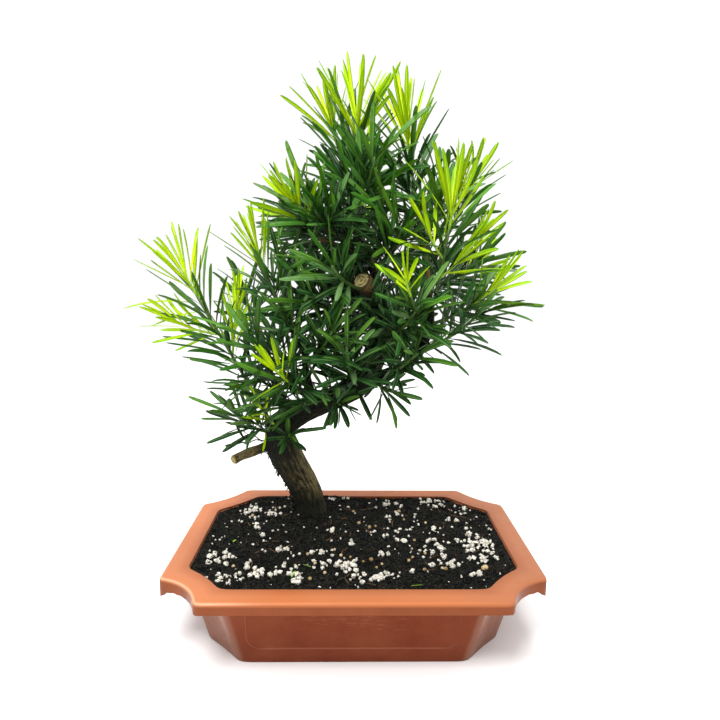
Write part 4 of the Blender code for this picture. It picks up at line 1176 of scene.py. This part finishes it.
def build_litter(draw):
    """Fine twigs and a few loose green bits on the soil."""
    bm = bmesh.new()
    for _ in range(LITTER_TWIGS):
        x, y = draw.uniform(-115, 115), draw.uniform(-82, 80)
        if not inside_pot(x, y, 9.0):
            continue
        turn, length = draw.uniform(0, math.tau), draw.uniform(5, 17)
        points = []
        for step in range(5):
            away = (step / 4 - 0.5) * length
            px = x + math.cos(turn + step * 0.06) * away
            py = y + math.sin(turn + step * 0.06) * away
            points.append(Vector((px, py, soil_height(px, py) + 0.5)))
        add_tube(bm, points, LITTER_RADII, 5)
    # Dead twigs: dull and brown, paler where the skin has gone
    fibre = scrap_material("dry_plant_fibre", 0.8, ("#3A2616", "#7A5630"), 8.0, 4.0, 0.35, 1.0, 0.1)
    finished_piece("soil_twigs", bm, [fibre])
    bits = bmesh.new()
    template = leaf_template(NEW_OUTLINE)
    for x, y, turn, length in GREEN_BITS:
        forward = Vector((math.cos(turn), math.sin(turn), 0.12)).normalized()
        root = Vector((x, y, soil_height(x, y) + 1.4))
        shape = (root, forward, Vector((0, 0, 1)), length, 3.6, Vector((0, 0, -0.1)))
        add_leaf(bits, template, shape, 0.0, 0.3, (0.5, 0.5, 0.0))
    # Bits of fallen new leaf: fresh green, yellower in patches
    green = scrap_material("fresh_leaf_litter", 0.5, ("#6FA82A", "#A8CC3A"), 3.0, 4.0, 0.3, 1.0, 0.05)
    finished_piece("loose_green_bits", bits, [green])
    bpy.data.meshes.remove(template)


def wood_lines():
    """Smooth lines of the trunk and of every branch, as (points, radii)."""
    return [smooth_line(line, 3.0) for line in (TRUNK_LINE, *BRANCH_LINES)]


def straightened(places, lines):
    """For each place on the wood, where it lies on a straightened trunk: two ways across and along."""
    best = np.full(len(places), 1e9)
    result = np.zeros((len(places), 3))
    for offset, (points, radii) in enumerate(lines):
        side = (points[1] - points[0]).orthogonal().normalized()
        travelled = 90.0 * offset
        for index in range(len(points) - 1):
            start, end = np.array(points[index]), np.array(points[index + 1])
            axis = (points[index + 1] - points[index]).normalized()
            side = (side - axis * side.dot(axis)).normalized()
            other = axis.cross(side)
            span = np.linalg.norm(end - start)
            away = places - start
            share = np.clip(away @ np.array(axis) / span, 0.0, 1.0)
            across = away - share[:, None] * (end - start)
            distance = np.linalg.norm(across, axis=1) - radii[index]
            nearer = distance < best
            best[nearer] = distance[nearer]
            turned = [across @ np.array(side), across @ np.array(other), travelled + share * span]
            result[nearer] = np.stack(turned, 1)[nearer]
            travelled += span
    return result


def build_trunk(sizes, colours):
    """Trunk, stubs and branches grown together, with ridged bark, flakes, sawn faces and dead twigs."""
    bm = bmesh.new()
    lines = wood_lines()
    for index, (points, radii) in enumerate(lines):
        add_tube(bm, points, radii, 20 if index == 0 else 12)
    bmesh.ops.recalc_face_normals(bm, faces=bm.faces)
    mesh = bpy.data.meshes.new("raw_wood")
    bm.to_mesh(mesh)
    bm.free()
    raw = bpy.data.objects.new("raw_wood", mesh)
    bpy.context.scene.collection.objects.link(raw)
    merge = raw.modifiers.new("merge", "REMESH")
    merge.mode = "VOXEL"
    merge.voxel_size = WOOD_VOXEL * MM
    soften = raw.modifiers.new("soften", "SMOOTH")
    soften.factor = 0.5
    soften.iterations = 3
    grown = bpy.data.meshes.new_from_object(raw.evaluated_get(bpy.context.evaluated_depsgraph_get()))
    bpy.data.objects.remove(raw)
    bm = bmesh.new()
    bm.from_mesh(grown)
    bpy.data.meshes.remove(grown)
    places = np.array([vertex.co for vertex in bm.verts]) / MM
    unrolled = straightened(places, lines)
    layer = bm.verts.layers.float_vector.new("grain")
    relief = sizes.bark_relief
    for vertex, spot in zip(bm.verts, unrolled):
        spot = Vector((spot[0], spot[1], spot[2] * GRAIN_SQUEEZE))
        vertex[layer] = spot * MM
        thick = min(1.0, math.hypot(spot.x, spot.y) / THICK_WOOD)
        ridges = noise.fractal(spot / BARK_RIDGE_SIZE, 1.0, 2.0, 3)
        lumps = noise.noise(vertex.co / (BARK_LUMP_SIZE * MM))
        vertex.co += vertex.normal * (ridges * relief * (0.3 + 0.7 * thick) + lumps * relief * thick)
    finished_piece(TRUNK_PIECE, bm, [bark_material(colours)], ["trunk"])
    build_stub_faces(lines, colours)
    build_dead_twigs(lines, colours)


def build_stub_faces(lines, colours):
    """Sawn faces on the chopped leader and on the left stub, with growth rings and a rim of bark."""
    bm = bmesh.new()
    layer = bm.loops.layers.uv.new("face")
    for index, scale in SAWN_ENDS:
        points, radii = lines[index]
        axis = (points[-1] - points[-2]).normalized()
        side = axis.orthogonal().normalized()
        other = axis.cross(side)
        radius = radii[-1] * scale
        faces_before = set(bm.faces)
        sections = []
        for reach, height in SAWN_PROFILE:
            ring = []
            for corner in range(SAWN_SIDES):
                turn = math.tau * corner / SAWN_SIDES
                wobble = 1 + 0.05 * noise.noise(Vector((math.cos(turn), math.sin(turn), index)) * 1.5)
                spot = (side * math.cos(turn) + other * math.sin(turn)) * radius * reach * wobble
                ring.append(points[-1] + spot + axis * height)
            sections.append(ring)
        sweep(bm, sections)
        for face in bm.faces:
            if face in faces_before:
                continue
            for loop in face.loops:
                away = loop.vert.co / MM - points[-1]
                loop[layer].uv = (0.5 + away.dot(side) / radius / 2, 0.5 + away.dot(other) / radius / 2)
    finished_piece("sawn_faces", bm, [sawn_material(colours)], sharp=40)


def build_dead_twigs(lines, colours):
    """Dead twigs above the left stub and flakes of bark that stand off the trunk."""
    bm = bmesh.new()
    for knots in DEAD_TWIGS:
        points, radii = smooth_line(knots, 3.0)
        add_tube(bm, points, radii, 6)
    draw = random.Random(5)
    points, radii = lines[0]
    clumps = [draw.randrange(CLUMPS_FROM, CLUMPS_MIDDLE) for _ in range(LOW_CLUMPS)]
    clumps += [draw.randrange(CLUMPS_MIDDLE, len(points) - CLUMPS_END) for _ in range(HIGH_CLUMPS)]
    for _ in range(FLAKES):
        index = draw.choice(clumps) + draw.choice((-1, 0, 0, 1))
        axis = (points[index + 1] - points[index - 1]).normalized()
        left = Vector((-1, draw.uniform(-0.7, 0.9), draw.uniform(-0.5, 0.3)))
        outwards = (left - axis * left.dot(axis)).normalized()
        root = points[index] + outwards * (radii[index] - 0.3)
        length = draw.uniform(1.5, 5.5)
        lift = outwards * draw.uniform(0.25, 0.9) + axis * draw.choice((-1, 1))
        across = axis.cross(outwards)
        width = draw.uniform(0.5, 2.0)
        sections = []
        for share, wide in ((0.0, 1.0), (0.5, 0.8), (1.0, 0.3)):
            centre = root + lift.normalized() * length * share + outwards * length * 0.3 * share * share
            sections.append([centre + across * x * width * wide + outwards * y * FLAKE_THICKNESS
                             for x, y in ((1, -1), (1, 1), (-1, 1), (-1, -1))])
        sweep(bm, sections)
    layer = bm.verts.layers.float_vector.new("grain")
    for vertex in bm.verts:
        vertex[layer] = (vertex.co.x, vertex.co.y, vertex.co.z * GRAIN_SQUEEZE)
    finished_piece("dead_twigs_and_flakes", bm, [bark_material(colours)])


def leaf_template(outline_points):
    """Leaf of unit length and half width, as a closed tube with its rib, its edge and its underside."""
    bm = bmesh.new()
    sides = len(LEAF_SECTION)
    bmesh.ops.create_cone(bm, cap_ends=True, segments=sides, radius1=1, radius2=1, depth=1)
    bmesh.ops.translate(bm, vec=(0, 0, 0.5), verts=bm.verts)
    for station, _ in outline_points[1:]:
        whole = [*bm.verts, *bm.edges, *bm.faces]
        bmesh.ops.bisect_plane(bm, geom=whole, plane_co=(0, 0, station), plane_no=(0, 0, 1))
    corners = {}
    for vertex in bm.verts:
        corners[vertex] = round(math.atan2(vertex.co.y, vertex.co.x) / (math.tau / sides)) % sides
    layer = bm.loops.layers.uv.new("blade")
    for face in bm.faces:
        found = {corners[loop.vert] for loop in face.loops}
        for loop in face.loops:
            corner = corners[loop.vert]
            closing = corner == 0 and sides - 1 in found and len(found) == 2
            loop[layer].uv = (1.0 if closing else LEAF_SECTION[corner][2], loop.vert.co.z)
    reach = dict(outline_points)
    for vertex, corner in corners.items():
        station = vertex.co.z
        half = next((value for key, value in reach.items() if abs(key - station) < 0.001), 0.0)
        across, height, _ = LEAF_SECTION[corner]
        vertex.co = (across * half, height * half, station)
    tip = [vertex for vertex in bm.verts if vertex.co.z > 0.999]
    bmesh.ops.pointmerge(bm, verts=tip, merge_co=(0, 0, 1))
    mesh = bpy.data.meshes.new("leaf_template")
    bm.to_mesh(mesh)
    bm.free()
    return mesh


def add_leaf(bm, template, shape, roll, twist, tone):
    """One leaf bent from the template, with its own tone kept on its points."""
    root, forward, upper, length, width, bend = shape
    across = forward.cross(upper)
    layer = bm.verts.layers.float_color.get("leaf") or bm.verts.layers.float_color.new("leaf")
    start = len(bm.verts)
    bm.from_mesh(template)
    bm.verts.ensure_lookup_table()
    for vertex in bm.verts[start:]:
        x, y, share = vertex.co
        turn = roll + twist * share
        side = across * math.cos(turn) + upper * math.sin(turn)
        rise = upper * math.cos(turn) - across * math.sin(turn)
        centre = root + forward * (length * share) + bend * (length * share * share)
        fold = abs(x) * LEAF_FOLD
        vertex.co = (centre + side * (x * width / 2) + rise * ((y + fold) * width / 2)) * MM
        vertex[layer] = (*tone, 1.0)


def shoot_line(base, tip, bow, steps):
    """Points of a shoot's stem, leaving outwards and turning up towards its tip."""
    base, tip = Vector(base), Vector(tip)
    lower = base.lerp(tip, STEM_HANDLES[0]) - Vector((0, 0, bow))
    upper = base.lerp(tip, STEM_HANDLES[1]) - Vector((0, 0, bow))
    return interpolate_bezier(base, lower, upper, tip, steps)


def along(points, distance):
    """Point and direction at a distance along a line."""
    for start, end in zip(points, points[1:]):
        span = (end - start).length
        if distance <= span or end is points[-1]:
            return start + (end - start) * (distance / span), (end - start).normalized()
        distance -= span


def line_length(points):
    """Length of a line of points."""
    return sum((end - start).length for start, end in zip(points, points[1:]))


def leaf_pose(line, start, end, growth, width, size, index, count, seed):
    """Root, direction, turn, opening, length, width and sag of one leaf, by the seeded rule."""
    draw = random.Random(seed * 1000 + index)
    share = (index + 0.5) / count
    root, axis = along(line, start + (end - start) * share)
    angle = index * GOLDEN_TURN + seed * SEED_TURN + draw.uniform(-TURN_SPREAD, TURN_SPREAD)
    opening = growth["open"][0] + (growth["open"][1] - growth["open"][0]) * share
    opening += draw.uniform(-OPENING_SPREAD, OPENING_SPREAD)
    length = growth["length"][0] + (growth["length"][1] - growth["length"][0]) * share
    length *= size * draw.uniform(*LENGTH_SPREAD)
    width = width * draw.uniform(*WIDTH_SPREAD)
    sag = growth["sag"] * draw.uniform(*SAG_SPREAD)
    return root, axis, angle, opening, length, width, sag


def leaf_shape(pose, growth, turn, shorten):
    """Root, direction, upper side, length, width and bend of a leaf."""
    root, axis, angle, opening, length, width, sag = pose
    angle += math.radians(turn)
    tilt = math.radians(max(LEAST_OPENING, opening))
    side = axis.cross(Vector((0, 0, 1)))
    side = side.normalized() if side.length > 0.05 else Vector((1, 0, 0))
    other = axis.cross(side)
    outwards = side * math.cos(angle) + other * math.sin(angle)
    forward = axis * math.cos(tilt) + outwards * math.sin(tilt) + Vector((0, 0, growth["lift"]))
    forward.normalize()
    upper = axis - forward * axis.dot(forward)
    upper = upper.normalized() if upper.length > 0.05 else -outwards
    bend = -upper * sag * SAG_ACROSS - Vector((0, 0, sag))
    return root, forward, upper, length * shorten, width, bend


def leaf_spot(shape, share):
    """Spot on the middle line of a leaf, at a share of its length."""
    root, forward, _, length, _, bend = shape
    return root + forward * (length * share) + bend * (length * share * share)


def cuts_wood(shape, tree):
    """Whether a leaf would run into the wood, or hide a sawn end or the trunk's bend."""
    for share in (0.35, 0.65, 0.95):
        spot = leaf_spot(shape, share) * MM
        nearest, normal, _, distance = tree.find_nearest(spot)
        inside = distance < WOOD_REACH * MM and (spot - nearest).dot(normal) < 0
        if distance < WOOD_CLEARANCE * MM or inside:
            return True
    return any(hides_end(leaf_spot(shape, share)) for share in (0.05, 0.2, 0.35, 0.5, 0.65, 0.8, 0.95))


def hides_end(spot):
    """Whether a spot lies in front of a sawn end or of the trunk's bend."""
    for end, facing, clear in OPEN_ENDS:
        foot, reach = intersect_point_line(spot, end, end + facing * CLEAR_REACH)
        if 0 < reach < 1 and (spot - foot).length < clear:
            return True
    return False


def crown_share(spot):
    """How far out a spot lies: nought in the middle of the dense foliage, one at its outside."""
    return min(sum(((spot[axis] - centre[axis]) / half[axis]) ** 2 for axis in range(3))
               for centre, half in DENSE)


def side_twigs(line, start, end, seed):
    """Lines of the short side twigs of one shoot, kept inside the crown."""
    draw = random.Random(seed * 77)
    count = round((end - start) / SIDE_TWIG_SPACING)
    twigs = []
    for index in range(count):
        root, axis = along(line, start + (end - start) * (index + draw.uniform(0.2, 0.8)) / count)
        turn = index * GOLDEN_TURN + seed
        side = axis.orthogonal().normalized()
        other = axis.cross(side)
        outwards = side * math.cos(turn) + other * math.sin(turn)
        heading = (axis * 0.5 + outwards + Vector((0, 0, 0.8))).normalized()
        tip = root + heading * draw.uniform(*SIDE_TWIG_LENGTH)
        twig = shoot_line(root, tip, SIDE_TWIG_BOW, TWIG_POINTS)
        if crown_share(tip) < 1.0 and not any(hides_end(spot) for spot in twig):
            twigs.append(twig)
    return twigs


def clear_start(line, tree, radius):
    """Distance along a stem's line at which it leaves the wood."""
    distance = 0.0
    while distance < line_length(line) / 2:
        spot = along(line, distance)[0] * MM
        nearest, normal, _, away = tree.find_nearest(spot)
        if away > radius * MM and (spot - nearest).dot(normal) > 0:
            return distance
        distance += 0.5
    return 0.0


def stem_tube(bm, line, first, last, radii, spans=7, sides=7):
    """Slim tapered stem along part of a line, with slight knees where leaves sit."""
    shares = [step / spans for step in range(spans + 1)]
    points = [along(line, first + (last - first) * share)[0] for share in shares]
    widths = [radii[0] + (radii[1] - radii[0]) * share for share in shares]
    for face in add_tube(bm, points, widths, sides):
        face.material_index = 1


def leafy(bm, template, line, first, last, count, growth, width, size, seed, wood,
          limit=9.0, gaps=0):
    """Give one stem its leaves, none further out in the crown than a limit, with gaps every so many.

    A leaf that would run into the wood or hide a bare part of it is turned or shortened, or left out.
    """
    bare = min(STEM_BARE_FOOT[0], (last - first) * STEM_BARE_FOOT[1])
    draw = random.Random(seed)
    for index in range(count):
        if gaps and index % gaps == gaps - 1:
            continue
        pose = leaf_pose(
            line, first + bare, last - STEM_BARE_TIP, growth, width, size, index, count, seed)
        for turn, shorten in DETOURS:
            shape = leaf_shape(pose, growth, turn, shorten)
            outside = crown_share(shape[0] + shape[1] * shape[3] * 0.5)
            if outside > limit:
                break
            if not cuts_wood(shape, wood):
                *fixed, bend = shape
                across = shape[1].cross(shape[2])
                bend = bend + across * draw.uniform(-0.09, 0.09) + shape[2] * draw.uniform(-0.08, 0.1)
                # Its tone, its age along the stem, and how deep it lies in the crown, which the mature
                # leaves' material paints as shade
                tone = (draw.random(), index / count, max(0.0, 1.0 - outside))
                roll, twist = draw.gauss(0, growth["roll"]), draw.uniform(-0.6, 0.6)
                add_leaf(bm, template, (*fixed, bend), roll, twist, tone)
                break


def add_lone_leaves(bm, template, piece_name):
    """The leaves of one piece that are placed one by one, each drooping to its tip."""
    for owner, root, tip, width, droop in LONE_LEAVES:
        if owner == piece_name:
            chord = Vector(tip) - Vector(root)
            length = chord.length
            bend = Vector((0, 0, -droop / length))
            forward = chord / length - bend
            upper = Vector((0, 0, 1)) - forward * (forward.z / forward.length_squared)
            shape = (Vector(root), forward, upper.normalized(), length, width, bend)
            # How deep it lies in the crown, which is painted as shade
            inner = max(0.0, 1.0 - crown_share((Vector(root) + Vector(tip)) / 2))
            add_leaf(bm, template, shape, 0.9, 0.3, (0.6, 0.5, inner))


def build_spray(leaves, width, tree, materials, name, line, last, count, size, seed):
    """Mature part of a shoot: its stem and leaves, its side twigs, and the leaves placed one by one."""
    piece_name = name.replace("shoot", "spray")
    first = clear_start(line, tree, STEM_MATURE[0])
    bm = bmesh.new()
    stem_tube(bm, line, 0.0, last, STEM_MATURE)
    leafy(bm, leaves, line, first, last, count, MATURE, width, size, seed, tree)
    leafy(bm, leaves, line, first, last, round(count * EXTRA_LEAVES), MATURE, width, size * EXTRA_SIZE,
          seed + EXTRA_SEED, tree, 1.0)
    for number, twig in enumerate(side_twigs(line, first, last, seed)):
        reach = line_length(twig)
        stem_tube(bm, twig, 0.0, reach, SIDE_TWIG_STEM, 3, 5)
        leafy(bm, leaves, twig, 0.0, reach, SIDE_TWIG_LEAVES, MATURE, width * SIDE_TWIG_WIDTH,
              size * SIDE_TWIG_SIZE, seed * 100 + number, tree)
    for number, (owner, foot, end, count, scale) in enumerate(FILL_TWIGS):
        if owner == piece_name:
            twig = shoot_line(foot, end, FILL_TWIG_BOW, TWIG_POINTS)
            reach = line_length(twig)
            stem_tube(bm, twig, 0.0, reach, FILL_TWIG_STEM, 3, 5)
            leafy(bm, leaves, twig, clear_start(twig, tree, 1.0), reach, count, MATURE,
                  width * FILL_TWIG_WIDTH, scale, FILL_SEED + number, tree)
    add_lone_leaves(bm, leaves, piece_name)
    finished_piece(piece_name, bm, materials, [name])


def build_tuft(leaves, width, tree, materials, name, line, start, first, count, size, seed):
    """New growth at the end of a shoot: its stem and leaves, thinned out at the sides of the crown."""
    piece_name = name.replace("shoot", "tuft")
    bm = bmesh.new()
    last = line_length(line)
    stem_tube(bm, line, start, last, STEM_YOUNG)
    shaded = line[-1].x < SHADED_LEFT_OF
    gaps = SPARSE_GAPS if abs(line[-1].x) > SPARSE_FROM and not shaded else 0
    leafy(bm, leaves, line, first, last, count, YOUNG, width * (SHADED_WIDTH if shaded else 1.0), size,
          seed + YOUNG_SEED, tree, gaps=gaps)
    add_lone_leaves(bm, leaves, piece_name)
    finished_piece(piece_name, bm, materials, [name + YOUNG_SUFFIX])


def build_foliage(sizes, colours, trunk):
    """Every leafy shoot and tuft of new growth, each in place of its node."""
    # Bark of last year's shoots, green going brown, and skin of this year's, pale green
    woody = scrap_material("woody_twig", 0.5, ("#3F6A1C", "#3C4E1E"), 5.0, 3.0, 0.35, 1.2, 0.15)
    green = scrap_material("green_twig", 0.5, ("#86B020", "#9CC42C"), 5.0, 3.0, 0.35, 1.2, 0.15)
    mature, young = [leaf_material(colours), woody], [new_leaf_material(colours), green]
    leaves, new_leaves = leaf_template(LEAF_OUTLINE), leaf_template(NEW_OUTLINE)
    bm = bmesh.new()
    bm.from_mesh(trunk.data)
    tree = BVHTree.FromBMesh(bm)
    bm.free()
    width, new_width = sizes.leaf_width / MM, sizes.new_leaf_width / MM
    for seed, (name, base, tip, bow, old, new, size) in enumerate(SHOOTS, start=1):
        line = shoot_line(base, tip, bow, LINE_POINTS)
        total = line_length(line)
        split = total - YOUNG_SHARE if old and new else total
        if old:
            build_spray(leaves, width, tree, mature, name, line, split, old, size, seed)
        if new:
            start = split if old else 0.0
            first = split if old else clear_start(line, tree, STEM_YOUNG[0])
            build_tuft(new_leaves, new_width, tree, young, name, line, start, first, new, size, seed)
    bpy.data.meshes.remove(leaves)
    bpy.data.meshes.remove(new_leaves)


def area_light(name, place, target, size, power):
    """Soft square light aimed at a point."""
    data = bpy.data.lights.new(name, "AREA")
    data.size = size
    data.energy = power
    light = bpy.data.objects.new(name, data)
    light.location = place
    light.rotation_euler = (Vector(target) - Vector(place)).to_track_quat("-Z", "Y").to_euler()
    bpy.context.scene.collection.objects.link(light)


def build_stage(colours):
    """Pale floor, soft studio light and the camera at the photograph's angle."""
    scene = bpy.context.scene
    bm = bmesh.new()
    bmesh.ops.create_grid(bm, x_segments=8, y_segments=8, size=FLOOR_HALF)
    mesh = bpy.data.meshes.new("floor")
    bm.to_mesh(mesh)
    bm.free()
    floor = bpy.data.objects.new("floor", mesh)
    mesh.materials.append(floor_material(colours))
    scene.collection.objects.link(floor)
    world = bpy.data.worlds.new("studio")
    world.use_nodes = True
    backdrop = world.node_tree.nodes["Background"]
    backdrop.inputs["Color"].default_value = (1.0, 1.0, 1.0, 1.0)
    backdrop.inputs["Strength"].default_value = BACKDROP_STRENGTH
    scene.world = world
    for light in LIGHTS:
        area_light(*light)
    scene.view_settings.view_transform = "Standard"
    camera_data = bpy.data.cameras.new("camera")
    camera_data.lens = CAMERA_LENS
    camera_data.sensor_width = 36.0
    camera = bpy.data.objects.new("camera", camera_data)
    pitch, roll = math.radians(CAMERA_PITCH), math.radians(CAMERA_ROLL)
    turn = Matrix.Rotation(math.radians(CAMERA_TURN), 3, "Z")
    forward = Vector((0, math.cos(pitch), -math.sin(pitch)))
    right = Vector((1, 0, 0))
    up = right.cross(forward)
    level = right * math.cos(roll) + up * math.sin(roll)
    above = up * math.cos(roll) - right * math.sin(roll)
    axes = Matrix((turn @ level, turn @ above, turn @ -forward)).transposed()
    camera.matrix_world = Matrix.Translation(CAMERA_PLACE) @ axes.to_4x4()
    scene.collection.objects.link(camera)
    scene.camera = camera


class BonsaiStage(bpy.types.Operator):
    """Build the floor, the lights and the camera"""

    bl_idname = "bonsai.stage"
    bl_label = "Stage"

    def execute(self, context):
        build_stage(context.scene.bonsai_colours)
        return {"FINISHED"}


class BonsaiPot(bpy.types.Operator):
    """Build the moulded tray"""

    bl_idname = "bonsai.pot"
    bl_label = "Pot"

    def execute(self, context):
        build_pot(context.scene.bonsai_colours)
        return {"FINISHED"}


class BonsaiSoil(bpy.types.Operator):
    """Build the bed of potting soil"""

    bl_idname = "bonsai.soil"
    bl_label = "Soil"

    def execute(self, context):
        build_soil(context.scene.bonsai_colours)
        return {"FINISHED"}


class BonsaiTopping(bpy.types.Operator):
    """Build the perlite, crumbs, fertiliser and litter that lie on the soil"""

    bl_idname = "bonsai.topping"
    bl_label = "Topping"

    def execute(self, context):
        build_topping(context.scene.bonsai_sizes, context.scene.bonsai_colours)
        return {"FINISHED"}


class BonsaiTrunk(bpy.types.Operator):
    """Build the trunk with its branches, sawn faces, dead twigs and flakes of bark"""

    bl_idname = "bonsai.trunk"
    bl_label = "Trunk"

    def execute(self, context):
        build_trunk(context.scene.bonsai_sizes, context.scene.bonsai_colours)
        return {"FINISHED"}


class BonsaiFoliage(bpy.types.Operator):
    """Build every leafy shoot and tuft of new growth, after the trunk"""

    bl_idname = "bonsai.foliage"
    bl_label = "Foliage"

    def execute(self, context):
        trunk = bpy.data.objects.get(TRUNK_PIECE)
        if trunk is None:
            raise RuntimeError("The trunk is built before the foliage")
        build_foliage(context.scene.bonsai_sizes, context.scene.bonsai_colours, trunk)
        return {"FINISHED"}


class BonsaiPanel(bpy.types.Panel):
    """Sizes, colours and builders of the bonsai"""

    bl_idname = "VIEW3D_PT_bonsai"
    bl_label = "Bonsai"
    bl_space_type = "VIEW_3D"
    bl_region_type = "UI"
    bl_category = "Bonsai"

    def draw(self, context):
        for group in (context.scene.bonsai_sizes, context.scene.bonsai_colours):
            for name in group.__annotations__:
                self.layout.prop(group, name)
        for operator in OPERATORS:
            self.layout.operator(operator.bl_idname)


OPERATORS = (BonsaiStage, BonsaiPot, BonsaiSoil, BonsaiTopping, BonsaiTrunk, BonsaiFoliage)
CLASSES = (BonsaiSizes, BonsaiColours, *OPERATORS, BonsaiPanel)


def register():
    """Register the classes and put the settings on the scene."""
    for item in CLASSES:
        bpy.utils.register_class(item)
    bpy.types.Scene.bonsai_sizes = bpy.props.PointerProperty(type=BonsaiSizes)
    bpy.types.Scene.bonsai_colours = bpy.props.PointerProperty(type=BonsaiColours)


def unregister():
    """Take the settings and classes away again."""
    del bpy.types.Scene.bonsai_colours
    del bpy.types.Scene.bonsai_sizes
    for item in reversed(CLASSES):
        bpy.utils.unregister_class(item)


def main():
    """Build everything: the stage, pot, soil, topping, trunk and foliage."""
    register()
    bpy.ops.bonsai.stage()
    bpy.ops.bonsai.pot()
    bpy.ops.bonsai.soil()
    bpy.ops.bonsai.topping()
    bpy.ops.bonsai.trunk()
    bpy.ops.bonsai.foliage()
    bpy.context.view_layer.update()


if __name__ == "__main__":
    main()
